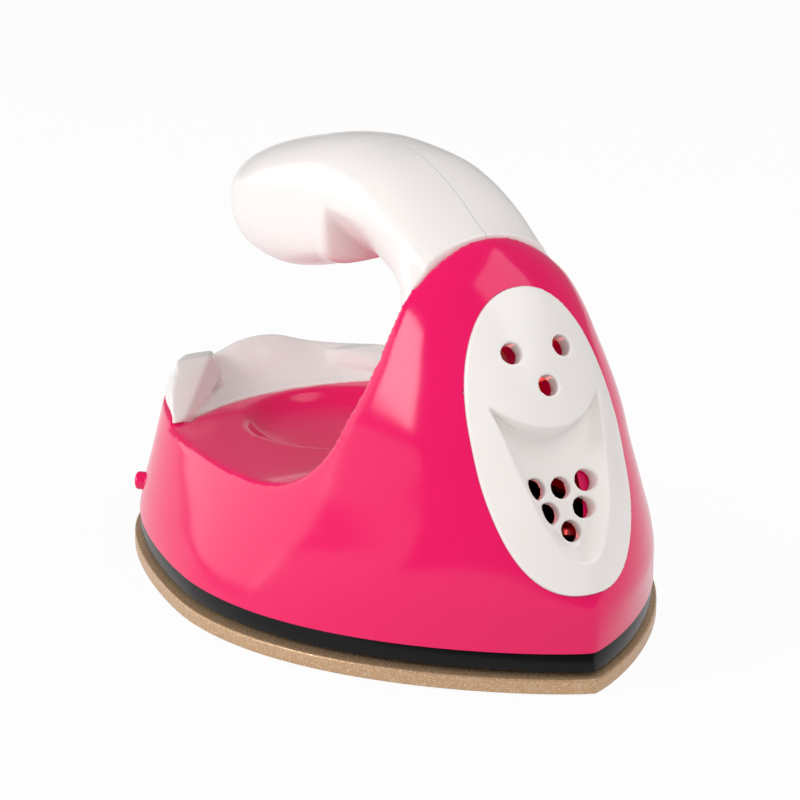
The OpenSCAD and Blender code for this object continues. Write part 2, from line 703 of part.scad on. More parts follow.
module handle_screw_spots() {
    for (i = [0, 1]) translate([half_length * handle_screw_x_shares[i], 0,
        handle_height * handle_screw_z_shares[i]]) rotate([90, 0, 0]) children();
}
module handle_half(s) {
    m = len(handle_x_shares) - 1;
    difference() {
        union() {
            difference() {
                intersection() {
                    handle_loft(0, s, 0, m);
                    opening(0);
                }
                handle_loft(handle_wall, s, 1.2, m - 0.8, 12);
            }
            intersection() {
                handle_loft(eps, s, 0, m);
                handle_screw_spots() cylinder(r = screw_head * 0.7, h = handle_width, center = true);
            }
            // Half of the tongue
            intersection() {
                translate([cowl_rear - 2 * shell_wall, 0, 0]) tongue_block(0);
                translate([0, s > 0 ? 0 : -plate_width, 0])
                    cube([plate_length, plate_width, plate_length]);
            }
        }
        // Lead hole through the tongue
        translate([0, 0, (tongue_low + tongue_high) / 2]) rotate([0, 90, 0])
            cylinder(r = tongue_half * 0.4, h = plate_length);
        handle_screw_spots() cylinder(r = screw_shank / 2, h = handle_width * 0.6, center = true);
        if (s > 0) handle_screw_spots() {
            rotate([0, 180, 0]) cylinder(r = screw_shank / 2 + 0.15, h = handle_width);
            translate([0, 0, -handle_width]) cylinder(r = screw_head / 2 + 0.15,
                h = handle_width - handle_screw_head_y);
        }
    }
}
handle_screw_head_y = handle_width * 0.3;
module handle_right_half() { color([0.95, 0.93, 0.91]) handle_half(-1); }
module handle_left_half() { color([0.94, 0.92, 0.9]) handle_half(1); }

/* Screws */
module screw(z0, z1, head) {
    // Screw from z0 up to the head seat z1, with a cross slot
    translate([0, 0, z0]) cylinder(r = screw_shank / 2 - 0.02, h = z1 - z0 + eps, $fn = 20);
    translate([0, 0, z1]) difference() {
        cylinder(r1 = screw_head / 2, r2 = screw_head * 0.38, h = head, $fn = 24);
        for (a = [0, 90]) rotate([0, 0, a]) translate([-screw_head * 0.28, -0.25, head * 0.5])
            cube([screw_head * 0.56, 0.5, head]);
    }
}
module plate_screws() {
    color([0.7, 0.7, 0.72]) plate_screw_spots() screw(plate_thickness * 0.45, floor_top, 1.5);
}
module shell_screws() {
    color([0.7, 0.7, 0.72]) {
        for (s = [-1, 1]) translate([heel_post_x, s * heel_post_y, 0])
            screw(heel_post_top - 7.5, crown_seat - 1.9, 1.6);
        translate([boss_x, 0, ring_bottom + 0.6]) rotate([180, 0, 0])
            screw(-6, 0, 1.4);
    }
}
module clamp_screws() {
    color([0.7, 0.7, 0.72]) clamp_screw_spots()
        screw(plate_thickness * 0.45, clamp_foot_top, 1.5);
}
module handle_screws() {
    color([0.7, 0.7, 0.72]) handle_screw_spots() rotate([0, 180, 0])
        screw(-handle_width * 0.28, handle_screw_head_y, 1.6);
}

/* Heater group */
heater_top = seat_top + heater_thickness;
mica_thick = 0.3;
clamp_thick = 1;
clamp_top = heater_top + mica_thick + clamp_thick;
clamp_foot_top = seat_top + clamp_thick;
clamp_width = heater_width * 0.6;
module heater_element() {
    color([0.9, 0.88, 0.82]) {
        translate([pad_x - heater_length / 2, -heater_width / 2, seat_top])
            cube([heater_length, heater_width, heater_thickness]);
        for (s = [-1, 1]) translate([pad_x - heater_length / 2 - 3, s * heater_width * 0.38 - 1, seat_top + 0.9])
            cube([4, 2, 0.5]);
    }
}
module mica_insulator() {
    color([0.75, 0.7, 0.6]) translate([pad_x - heater_length / 2, -heater_width / 2, heater_top])
        cube([heater_length, heater_width, mica_thick]);
}
module heater_clamp() {
    color([0.72, 0.73, 0.75]) difference() {
        union() {
            translate([pad_x - heater_length / 2 - 0.4 - clamp_thick, -clamp_width / 2,
                heater_top + mica_thick])
                cube([heater_length + 0.8 + 2 * clamp_thick, clamp_width, clamp_thick]);
            for (s = [-1, 1]) {
                translate([pad_x + s * (heater_length / 2 + 0.4 + clamp_thick / 2) - clamp_thick / 2,
                    -clamp_width / 2, seat_top])
                    cube([clamp_thick, clamp_width, clamp_top - seat_top]);
                translate([pad_x + s * clamp_screw_x - 3, -clamp_width / 2, seat_top])
                    cube([6, clamp_width, clamp_thick]);
            }
        }
        clamp_screw_spots() post(screw_shank / 2 + 0.15, seat_top - 1, seat_top + 2);
        translate([pad_x - heater_length / 2, -clamp_width, seat_top - 1])
            cube([heater_length, 2 * clamp_width, heater_thickness + 1 + mica_thick]);
    }
}
module thermal_cutout() {
    color([0.3, 0.3, 0.32]) translate([cutout_x, 0, 0]) {
        post(cutout_radius, seat_top, seat_top + 4);
        post(cutout_radius * 0.8, seat_top + 4, seat_top + 5);
        for (s = [-1, 1]) translate([-1, s * (cutout_radius + 1.6) - 1.8, seat_top + 3.2])
            cube([2, 3.6, 0.6]);
    }
}

/* Electrics */
board_x = half_length * -0.6;
board_z = shell_base + 2.4;
board_length = 12;
board_width = 22;
board_thick = 1.2;
module circuit_board() {
    color([0.1, 0.4, 0.2]) {
        difference() {
            translate([board_x - board_length / 2, -board_width / 2, board_z])
                cube([board_length, board_width, board_thick]);
            for (s = [-1, 1]) translate([board_x, s * board_width * 0.36, 0])
                post(0.8, board_z - 1, board_z + 3);
        }
        translate([board_x - 3, -2.5, board_z + board_thick - eps]) cube([6, 5, 1.8]);
        for (s = [-1, 1]) translate([board_x + 4, s * 6, board_z + board_thick - eps])
            cylinder(r = 1.2, h = 2.6);
    }
}
switch_width = 6;
switch_front = collar_depth + 0.5;
switch_back = switch_front + 4;
module push_switch() {
    color([0.15, 0.15, 0.16]) at_button() {
        translate([-3, -switch_width / 2, -switch_back])
            cube([board_z * 0.1 + 3, switch_width, switch_back - switch_front]);
        translate([0, 0, -switch_front - eps]) cylinder(r = 0.8, h = 0.35);
    }
}
module power_button() {
    color([1, 0.16, 0.44]) at_button() {
        difference() {
            union() {
                translate([0, 0, -flange_top]) cylinder(r = button_radius, h = flange_top + button_proud - 0.4);
                translate([0, 0, button_proud - 0.4 - eps])
                    cylinder(r1 = button_radius, r2 = button_radius - 0.4, h = 0.4);
            }
        }
        translate([0, 0, -flange_top - flange_thick]) cylinder(r = flange_radius, h = flange_thick + eps);
    }
}
module return_sleeve() {
    // Rubber bellows that pushes the button back out
    low = -switch_front + 0.02;
    high = -flange_top - flange_thick - 0.02;
    mid = (low + high) / 2;
    color([0.25, 0.25, 0.27]) at_button() rotate_extrude($fn = 24) polygon([
        [1.3, low], [2.4, low], [2.4, low + 0.3], [1.9, mid], [2.4, high - 0.3],
        [2.4, high], [1.3, high], [1.3, high - 0.3], [1.1, mid], [1.3, low + 0.3]]);
}
module power_socket() {
    color([0.08, 0.08, 0.09]) translate([socket_x, 0, socket_z]) rotate([0, 90, 0]) difference() {
        union() {
            translate([0, 0, -1.6]) cylinder(r = socket_radius + 1, h = 0.9);
            translate([0, 0, -1]) cylinder(r = socket_radius, h = 8);
        }
        translate([0, 0, -2]) cylinder(r = socket_radius * 0.6, h = 7);
    }
}
wire_radius = 0.6;
module wire_run(pts) {
    for (i = [0:len(pts) - 2]) hull() {
        translate(pts[i]) sphere(r = wire_radius, $fn = 10);
        translate(pts[i + 1]) sphere(r = wire_radius, $fn = 10);
    }
}
module lead_wires() {
    heater_end = pad_x - heater_length / 2 - 2;
    over = clamp_top + 1.4;
    color([0.75, 0.1, 0.1]) {
        // Socket to board
        for (s = [-1, 1]) wire_run([[socket_x + 7.2, s * 2, socket_z], [board_x - 4, s * 3.4, socket_z - 0.6],
            [board_x - 4, s * 6, board_z + board_thick + wire_radius]]);
        // Board to heater
        wire_run([[board_x + 4, -9, board_z + board_thick + wire_radius],
            [heater_end - 3, -heater_width * 0.4, board_z + 1],
            [heater_end - 0.4, -heater_width * 0.38, seat_top + 1.4 + wire_radius]]);
        // Heater to thermal cutout and back to the board
        wire_run([[heater_end, heater_width * 0.38, seat_top + 1.4 + wire_radius],
            [heater_end + 2, heater_width * 0.6, over],
            [cutout_x - 6, heater_width * 0.6, over],
            [cutout_x, cutout_radius + 2.4, seat_top + 3.8 + wire_radius]]);
        wire_run([[cutout_x, -cutout_radius - 2.4, seat_top + 3.8 + wire_radius],
            [cutout_x - 6, -heater_width * 0.6, over],
            [heater_end, -heater_width * 0.65, over],
            [board_x + 4, -4, board_z + board_thick + wire_radius + 2.6]]);
    }
}

soleplate();
heat_shield_ring();
body_shell();
heel_crown();
face_panel();
handle_right_half();
handle_left_half();
heater_element();
mica_insulator();
heater_clamp();
thermal_cutout();
circuit_board();
push_switch();
power_button();
return_sleeve();
power_socket();
lead_wires();
plate_screws();
shell_screws();
clamp_screws();
handle_screws();
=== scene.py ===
import bpy
import math
import numpy as np
from mathutils import Matrix, Vector


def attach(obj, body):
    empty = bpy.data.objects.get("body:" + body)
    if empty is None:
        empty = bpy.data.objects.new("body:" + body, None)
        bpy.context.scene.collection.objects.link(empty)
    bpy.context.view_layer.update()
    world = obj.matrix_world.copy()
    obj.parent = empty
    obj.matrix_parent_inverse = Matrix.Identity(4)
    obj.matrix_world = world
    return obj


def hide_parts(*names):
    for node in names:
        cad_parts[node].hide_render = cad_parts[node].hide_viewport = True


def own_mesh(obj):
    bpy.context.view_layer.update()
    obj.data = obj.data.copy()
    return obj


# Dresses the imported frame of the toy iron. Sizes are in mm, and become metres in a mesh.
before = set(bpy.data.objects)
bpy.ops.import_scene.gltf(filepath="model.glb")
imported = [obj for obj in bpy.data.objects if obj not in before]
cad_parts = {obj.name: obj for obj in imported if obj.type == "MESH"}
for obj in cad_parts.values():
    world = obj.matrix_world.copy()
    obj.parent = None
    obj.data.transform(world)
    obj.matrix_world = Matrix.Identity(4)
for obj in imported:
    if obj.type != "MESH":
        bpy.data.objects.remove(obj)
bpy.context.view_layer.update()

MM = 0.001

# ---------------------------------------------------------------- camera
view_target = Vector((5.542, -3.667, 29.654)) * MM
view_way = Vector((0.82358, -0.48511, 0.29397)).normalized()
view_distance = 427.805
lens_length, film_width = 135, 36
cam_data = bpy.data.cameras.new("studio_camera")
cam_data.lens = lens_length
cam_data.sensor_width = film_width
cam_data.clip_start = 0.01
camera = bpy.data.objects.new("studio_camera", cam_data)
bpy.context.scene.collection.objects.link(camera)
camera.location = view_target + view_way * view_distance * MM
camera.rotation_euler = (-view_way).to_track_quat("-Z", "Y").to_euler()
bpy.context.scene.camera = camera

# ---------------------------------------------------------------- sizes of the iron, mm
half_length, half_width = 51.0, 35.0
crest_height, shell_base = 57.0, 5.6
body_rise = crest_height - shell_base
shell_wall, lip_wall, fit_gap = 2.0, 1.1, 0.15
saddle_height = crest_height * 0.361
crown_seat = saddle_height - 1.4
cowl_rear = half_length * 0.441
dish_radius, dish_depth, dish_x = 15.2, 2.8, -16.5
panel_height, panel_width, panel_wall, panel_proud = 42.4, 23.0, 1.6, 0.35
handle_height, handle_width, handle_wall = 65.5, 22.0, 2.0
screw_head = 4.8
vent_radius, way_radius = 1.5, 1.9
# cutting forms end out here, clear of the iron
reach_x, reach_y, reach_z, reach_top, through = 110, 80, 100, 90, 20
# levels of the body and points in a quarter of its plan, and fewer for a form that only cuts
shell_levels, quarter_points = 110, 52
coarse = {"levels": 40, "k": 26}
# steps round a turned form: as a rule, for a hole, a smaller hole, the seam and the dish
round_steps, fine_steps, hole_steps, seam_steps, dish_steps = 64, 48, 32, 240, 160
# points closer than this, in metres, become one: in a new form, and in a copy of a CAD node
merge_new, merge_copy = 2e-6, 1e-6
least_half, least_length = 0.05, 0.1

# The body from its base to its crest: height as a share of its rise, then half width, nose,
# waist and heel as shares of the half width and half length, then exponents of its plan.
level_z = [0, 0.066, 0.125, 0.202, 0.28, 0.358, 0.436, 0.533,
           0.621, 0.708, 0.786, 0.864, 0.922, 0.961, 0.988, 1]
level_width = [0.977, 0.945, 0.908, 0.855, 0.795, 0.738, 0.692, 0.637, 0.571, 0.503, 0.446,
               0.377, 0.291, 0.211, 0.126, 0.02]
level_nose = [0.985, 0.987, 0.982, 0.957, 0.928, 0.899, 0.863, 0.817, 0.771, 0.721, 0.671,
              0.616, 0.569, 0.525, 0.486, 0.45]
level_waist = [-0.018, -0.018, -0.018, -0.01, 0, 0.04, 0.098, 0.196,
               0.275, 0.333, 0.373, 0.392, 0.4, 0.4, 0.4, 0.4]
level_heel = [-0.984, -0.97, -0.954, -0.941, -0.931, -0.92, -0.8, -0.6,
              -0.4, -0.2, 0, 0.1, 0.15, 0.2, 0.25, 0.3]
level_blunt = [1.19, 1.29, 1.45, 1.66, 1.86, 1.98, 2.02, 2.02, 2.0, 1.98, 1.94, 1.86, 1.82,
               1.85, 1.9, 2]
level_tail = [1.5, 1.58, 1.65, 1.78, 1.95, 2.2, 2.2, 2.2, 2.2, 2.2, 2.2, 2.2, 2.2, 2.2, 2.2, 2.2]
level_side = [3.075, 3.08, 3.1, 3.15, 3.25, 3.4, 3.4, 3.4, 3.4, 3.4, 3.4, 3.4, 3.4, 3.4, 3.4, 3.4]
nose_side = 2.1
# The side line of saddle and cowl, in shares of the half length and of the crest's height.
rim_x = [-1.2, -0.66, -0.57, -0.53, -0.506, -0.2, 0.078, 0.216, 0.284, 0.339, 0.384,
         0.418, 0.435, 0.441, 0.441]
rim_z = [0.376, 0.375, 0.374, 0.367, 0.358, 0.362, 0.374, 0.397, 0.427, 0.475, 0.546,
         0.64, 0.754, 0.877, 1.2]


def flow(values, u):
    """Value at place u on the smooth curve through a list of values."""
    last = len(values) - 1
    i = min(int(u), last - 1)
    f = u - i
    a, b, c, d = values[max(i - 1, 0)], values[i], values[i + 1], values[min(i + 2, last)]
    return 0.5 * (2 * b + (c - a) * f + (2 * a - 5 * b + 4 * c - d) * f * f
                  + (3 * b - a - 3 * c + d) * f ** 3)


def plan(w, xr, xm, xf, c, k=quarter_points):
    """Plan outline, nose first, round by the left side: half width w, rear, middle and front x,
    and the exponents c of the rear and front quarters."""
    def quarter(a, s, x1, p, q):
        return (xm + (x1 - xm) * max(math.sin(a), 0) ** (2 / p),
                s * w * max(math.cos(a), 0) ** (2 / q))
    t = math.pi / 2 / k
    pts = [quarter(i * t, 1, xf, c[2], c[3]) for i in range(k, 0, -1)]
    pts += [quarter(i * t, 1, xr, c[0], c[1]) for i in range(0, k)]
    pts += [quarter(i * t, -1, xr, c[0], c[1]) for i in range(k, 0, -1)]
    pts += [quarter(i * t, -1, xf, c[2], c[3]) for i in range(0, k)]
    return pts


def shell_ring(u, d, k=quarter_points):
    """The body's outline at level u, drawn in by d."""
    z = shell_base + (body_rise - d) * flow(level_z, u)
    w = max(half_width * flow(level_width, u) - d, least_half)
    xf = half_length * flow(level_nose, u) - d
    xm = min(half_length * flow(level_waist, u), xf - least_length)
    xr = min(half_length * flow(level_heel, u) + d, xm - least_length)
    curves = [flow(level_tail, u), flow(level_side, u), nose_side, flow(level_blunt, u)]
    return [(x, y, z) for x, y in plan(w, xr, xm, xf, curves, k)]


# ---------------------------------------------------------------- making of forms
def only(obj):
    """Selects obj alone and makes it active."""
    bpy.ops.object.select_all(action="DESELECT")
    obj.select_set(True)
    bpy.context.view_layer.objects.active = obj


def sleeve(name, rings):
    """A closed form through rings of points: a grid wrapped round, merged, ends filled."""
    co = np.array(rings, dtype=float) * MM
    co = np.concatenate([co, co[:, :1]], axis=1)
    m, n = co.shape[:2]
    bpy.ops.object.select_all(action="DESELECT")
    bpy.ops.mesh.primitive_grid_add(x_subdivisions=n - 1, y_subdivisions=m - 1, size=1)
    obj = bpy.context.object
    obj.name = name
    obj.data.vertices.foreach_set("co", co.reshape(-1))
    obj.data.update()
    bpy.ops.object.mode_set(mode="EDIT")
    bpy.ops.mesh.select_all(action="SELECT")
    bpy.ops.mesh.remove_doubles(threshold=merge_new)
    bpy.ops.mesh.fill_holes(sides=0)
    bpy.ops.mesh.normals_make_consistent(inside=False)
    bpy.ops.object.mode_set(mode="OBJECT")
    return obj


def prism(name, outline, low, high, place=None):
    """A filled outline in mm, extruded from low to high, then set in its place."""
    bpy.ops.object.select_all(action="DESELECT")
    bpy.ops.mesh.primitive_circle_add(vertices=len(outline), radius=1)
    obj = bpy.context.object
    obj.name = name
    co = np.array([(x, y, low) for x, y in outline]).reshape(-1) * MM
    obj.data.vertices.foreach_set("co", co)
    obj.data.update()
    bpy.ops.object.mode_set(mode="EDIT")
    bpy.ops.mesh.select_all(action="SELECT")
    bpy.ops.mesh.edge_face_add()
    bpy.ops.mesh.extrude_region_move(TRANSFORM_OT_translate={"value": (0, 0, (high - low) * MM)})
    bpy.ops.mesh.select_all(action="SELECT")
    bpy.ops.mesh.normals_make_consistent(inside=False)
    bpy.ops.object.mode_set(mode="OBJECT")
    if place:
        obj.data.transform(place)
    return obj


def block(name, x0, y0, z0, x1, y1, z1):
    return prism(name, [(x0, y0), (x1, y0), (x1, y1), (x0, y1)], z0, z1)


def behind(name, x, low=0):
    """All that lies behind x and above low."""
    return block(name, -reach_x, -reach_y, low, x, reach_y, reach_z)


def turned(name, profile, place=None, steps=round_steps):
    """A turned form from (radius, height) points, about its own z."""
    rings = [[(r * math.cos(a), r * math.sin(a), z)
              for a in np.linspace(0, 2 * math.pi, steps, endpoint=False)] for r, z in profile]
    obj = sleeve(name, rings)
    if place:
        obj.data.transform(place)
    return obj


def rod(name, r, z0, z1, place=None, steps=round_steps):
    """A round bar of radius r from z0 to z1."""
    return turned(name, [(r, z0), (r, z1)], place, steps)


def hull(name, points):
    """The tight skin round a few points."""
    mesh = bpy.data.meshes.new(name)
    mesh.from_pydata([tuple(c * MM for c in p) for p in points], [], [])
    obj = bpy.data.objects.new(name, mesh)
    bpy.context.scene.collection.objects.link(obj)
    only(obj)
    bpy.ops.object.mode_set(mode="EDIT")
    bpy.ops.mesh.select_all(action="SELECT")
    bpy.ops.mesh.convex_hull()
    bpy.ops.mesh.select_all(action="SELECT")
    bpy.ops.mesh.normals_make_consistent(inside=False)
    bpy.ops.object.mode_set(mode="OBJECT")
    return obj


def carve(obj, tool, way="DIFFERENCE"):
    """Cuts tool from obj, or joins or keeps what both share, and takes tool away."""
    only(obj)
    mod = obj.modifiers.new("carve", "BOOLEAN")
    mod.operation = way
    mod.solver = "MANIFOLD"
    mod.object = tool
    bpy.ops.object.modifier_apply(modifier=mod.name)
    bpy.data.objects.remove(tool, do_unlink=True)
    return obj


def joined(objs):
    """Several separate forms as one object."""
    only(objs[0])
    for obj in objs[1:]:
        obj.select_set(True)
    bpy.ops.object.join()
    return objs[0]


def soften(obj, voxel, times):
    """Even small faces over the whole form, then edges rounded as a mould leaves them."""
    only(obj)
    mod = obj.modifiers.new("even", "REMESH")
    mod.mode = "VOXEL"
    mod.voxel_size = voxel * MM
    bpy.ops.object.modifier_apply(modifier=mod.name)
    mod = obj.modifiers.new("soft", "SMOOTH")
    mod.factor = 0.5
    mod.iterations = times
    bpy.ops.object.modifier_apply(modifier=mod.name)
    bpy.ops.object.shade_smooth()
    return obj


def thin_out(obj, share):
    """Fewer triangles where the form is flat."""
    only(obj)
    mod = obj.modifiers.new("thin", "DECIMATE")
    mod.ratio = share
    bpy.ops.object.modifier_apply(modifier=mod.name)


def crisp(obj, angle=35):
    """Smooth shading, with a sharp edge wherever faces turn by more than angle."""
    only(obj)
    bpy.ops.object.shade_smooth_by_angle(angle=math.radians(angle))
    return obj


def smooth_copy(node, name):
    """A merged and smoothed copy of a CAD node."""
    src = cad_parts[node]
    obj = bpy.data.objects.new(name, src.data.copy())
    bpy.context.scene.collection.objects.link(obj)
    only(obj)
    bpy.ops.object.mode_set(mode="EDIT")
    bpy.ops.mesh.select_all(action="SELECT")
    bpy.ops.mesh.remove_doubles(threshold=merge_copy)
    bpy.ops.object.mode_set(mode="OBJECT")
    return crisp(obj)


def shifted(outline, g):
    """A closed outline moved outwards by g."""
    p = np.array(outline, float)
    t = np.roll(p, -1, 0) - np.roll(p, 1, 0)
    n = np.stack([t[:, 1], -t[:, 0]], 1)
    n /= np.maximum(np.linalg.norm(n, axis=1, keepdims=True), 1e-9)
    area = 0.5 * np.sum(p[:, 0] * np.roll(p[:, 1], -1) - np.roll(p[:, 0], -1) * p[:, 1])
    return [tuple(q) for q in p + n * g * (1 if area > 0 else -1)]


SIDE = Matrix.Rotation(math.radians(90), 4, "X")
rim_steps = 160


def at(x, y, z=0):
    return Matrix.Translation((x * MM, y * MM, z * MM))


def opening(g):
    """The room above the side line, grown by g."""
    places = [(len(rim_x) - 1) * i / rim_steps for i in range(rim_steps + 1)]
    line = np.array([(half_length * flow(rim_x, u), crest_height * flow(rim_z, u)) for u in places])
    t = np.gradient(line, axis=0)
    n = np.stack([t[:, 1], -t[:, 0]], 1)
    n /= np.linalg.norm(n, axis=1, keepdims=True)
    line = line + n * g
    above = 1.2 * crest_height + 10
    pts = [tuple(p) for p in line[:-1]] + [(line[-1][0], above), (-2 * half_length, above)]
    return prism("opening", pts, -reach_y, reach_y, SIDE)


def shell_solid(name, d, down=0, levels=shell_levels, k=quarter_points):
    """The body's whole outer form, drawn in by d and lengthened by down at its base."""
    m = len(level_z) - 1
    rings = [shell_ring(m * i / levels, d, k) for i in range(levels + 1)]
    if down:
        rings = [[(x, y, z - down) for x, y, z in rings[0]]] + rings
    return sleeve(name, rings)


# the round front seam of the heel crown
seam_x = half_length * -0.667
seam_radius = half_width * 2 * 0.511
seam_front = half_length * -0.506
lip_level = 5


def lip_outline(d):
    return [(x, y) for x, y, z in shell_ring(lip_level, d)]


def seam_rod(g, low):
    return rod("seam", seam_radius + g, low, reach_top, at(seam_x + seam_radius, 0), seam_steps)


def crown_prism(g):
    """The heel crown's seat in plan, grown by g."""
    obj = prism("crown_plan", lip_outline(lip_wall - g), crown_seat, reach_top)
    carve(obj, behind("half", seam_front + g), "INTERSECT")
    return carve(obj, seam_rod(-g, 0))


# ---------------------------------------------------------------- place of the face panel
panel_top_x, panel_top_z = half_length * 0.588, crest_height * 0.904
panel_low_x, panel_low_z = half_length * 0.967, crest_height * 0.237
panel_lean = math.atan2(panel_low_x - panel_top_x, panel_top_z - panel_low_z)
ON_PANEL = (at((panel_top_x + panel_low_x) / 2, 0, (panel_top_z + panel_low_z) / 2)
            @ Matrix.Rotation(-panel_lean, 4, "Y") @ Matrix.Rotation(math.radians(90), 4, "Z")
            @ Matrix.Rotation(math.radians(90), 4, "X"))
panel_low_curve, panel_top_curve, panel_steps = 2.35, 2.2, 240


def panel_outline(g):
    """The oval panel's outline, moved outwards by g."""
    pts = []
    for i in range(panel_steps):
        a = 2 * math.pi * i / panel_steps
        e = panel_low_curve if math.sin(a) < 0 else panel_top_curve
        pts.append((panel_width / 2 * math.copysign(abs(math.cos(a)) ** (2 / e), math.cos(a)),
                    panel_height / 2 * math.copysign(abs(math.sin(a)) ** (2 / e), math.sin(a))))
    return shifted(pts, g)


smile_corner_x, smile_corner_y = panel_width * 0.425, panel_height * 0.177
smile_lip_y, smile_low_y = panel_height * 0.03, panel_height * -0.43
smile_depth = 3.0
smile_base = -0.9
smile_inset, smile_outset = 0.42, -0.084
smile_lip_inset, smile_chin_rise = 0.05, 0.35
# How full its outline is at the face, and how much less where it is drawn in.
smile_full, smile_full_loss = 2.9, 1.9
smile_steps, smile_wall_steps, smile_reach = 70, 16, 4
back_width, back_height, back_flare, back_middle = 1.13, 1.11, 0.04, 0.38


def smile_points(f, k=smile_steps):
    """Outline of the smile at its face (f = 0) or, drawn in, at its floor (f = smile_inset)."""
    pts = []
    full = smile_full - smile_full_loss * f
    for i in range(k + 1):
        s = 1 - 2 * i / k
        pts.append((smile_corner_x * s, smile_lip_y + (smile_corner_y - smile_lip_y) * s * s
                    - f * (1 - s * s) * panel_height * smile_lip_inset))
    h = smile_corner_y - smile_low_y
    for i in range(1, k):
        s = -1 + 2 * i / k
        t = 1 - abs(s) ** full
        pts.append((smile_corner_x * s * (1 - f * t ** 0.5),
                    smile_low_y + h * abs(s) ** full + f * t * h * smile_chin_rise))
    return pts


def smile_back(g, k):
    """The block behind the smile, g deeper and larger by share k."""
    mid = smile_low_y * back_middle
    rings = [[(x * (back_width + v + k), mid + (y - mid) * (back_height + v + k),
               smile_base - panel_wall - g + (v + back_flare) / (2 * back_flare) * panel_width)
              for x, y in smile_points(0)] for v in (-back_flare, back_flare)]
    obj = sleeve("smile_back", rings)
    obj.data.transform(ON_PANEL)
    return obj


def smile_cut():
    """The smile's recess, with drawn-in walls."""
    rings = []
    for v in list(np.linspace(0, 1, smile_wall_steps)) + [smile_reach]:
        f = smile_inset * (1 - v) if v <= 1 else smile_outset
        rings.append([(x, y, smile_base + smile_depth * v) for x, y in smile_points(f)])
    obj = sleeve("smile_cut", rings)
    obj.data.transform(ON_PANEL)
    return obj


# Places of the round vents, in widths and heights of the panel: three above, six in the smile.
hole_points = [(0.17, 0.289), (-0.17, 0.289), (0, 0.168),
               (0.17, -0.14), (0, -0.15), (-0.17, -0.14),
               (0.115, -0.223), (-0.115, -0.223), (0, -0.29)]
upper_vents = hole_points[:3]


def vent_place(x, y):
    return ON_PANEL @ at(x * panel_width, y * panel_height)


# ---------------------------------------------------------------- places of the fittings
button_x, button_y = half_length * -0.765, half_width * -0.682
BUTTON = (at(button_x, button_y, shell_base + 2.5)
          @ Matrix.Rotation(math.radians(-132), 4, "Z") @ Matrix.Rotation(math.radians(90), 4, "Y"))
button_radius, button_proud, button_edge, tip_steps = 1.4, 0.5, 0.5, 6
flange_radius, flange_top, flange_thick = button_radius + 0.9, 2.65, 1
press_run = 1.2
collar_depth = flange_top + flange_thick + press_run + 0.4
bore_wide, bore_narrow, bore_step = 2.45, 1.45, 2.6
heel_post_x, heel_post_y, heel_post_top = half_length * -0.784, half_width * 0.343, crown_seat - 3.5
boss_x, boss_height = half_length * 0.745, 8
socket_z, socket_radius = shell_base + 6.4, 3.5
# the handle's tongue, which goes through a window in the cowl
tongue_low, tongue_high, tongue_half = crest_height * 0.7, crest_height * 0.82, 6.6


# ---------------------------------------------------------------- pink body
# The dish's curve, in shares of its radius and depth.
bowl_shares = [(0.3, 0.995), (0.55, 0.96), (0.7, 0.89), (0.8, 0.79), (0.88, 0.62),
               (0.94, 0.38), (0.98, 0.16)]
body_voxel, body_smoothing, body_share = 0.5, 8, 0.8
base_spare, room_spare, back_spare = 3, 6, 0.03
panel_seat_gap, seat_wall_share = 0.05, 0.8
below_box = (-80, -60, -9, 80, 60, shell_base)
way_reach, window_reach, bore_reach, socket_gap = 9, 7, 4, 0.1
collar_wall = 1.1
post_radius, post_bore, post_bore_depth = screw_head * 0.85, 2.6, 1.9
boss_radius = screw_head * 0.65
post_places = [at(heel_post_x, s * heel_post_y) for s in (-1, 1)]


def hollow_room():
    """The body's hollow, less the walls, posts and collar that stay in it."""
    room = shell_solid("room", shell_wall, down=room_spare, **coarse)
    carve(room, opening(shell_wall))
    carve(room, rod("under_dish", dish_radius + shell_wall, saddle_height - dish_depth - shell_wall,
                    reach_top, at(dish_x, 0)))
    carve(room, behind("under_deck", dish_x, crown_seat - shell_wall))
    wall = prism("seat_wall", panel_outline(shell_wall * seat_wall_share),
                 -panel_width, panel_width, ON_PANEL)
    carve(wall, shell_solid("inner", panel_wall + shell_wall, **coarse))
    carve(room, wall)
    carve(room, rod("collar", flange_radius + collar_wall, -collar_depth, 1, BUTTON))
    for place in post_places:
        carve(room, rod("post", post_radius, heel_post_top, crown_seat, place))
    boss = rod("boss", boss_radius, shell_base, shell_base + boss_height, at(boss_x, 0))
    return carve(room, boss)


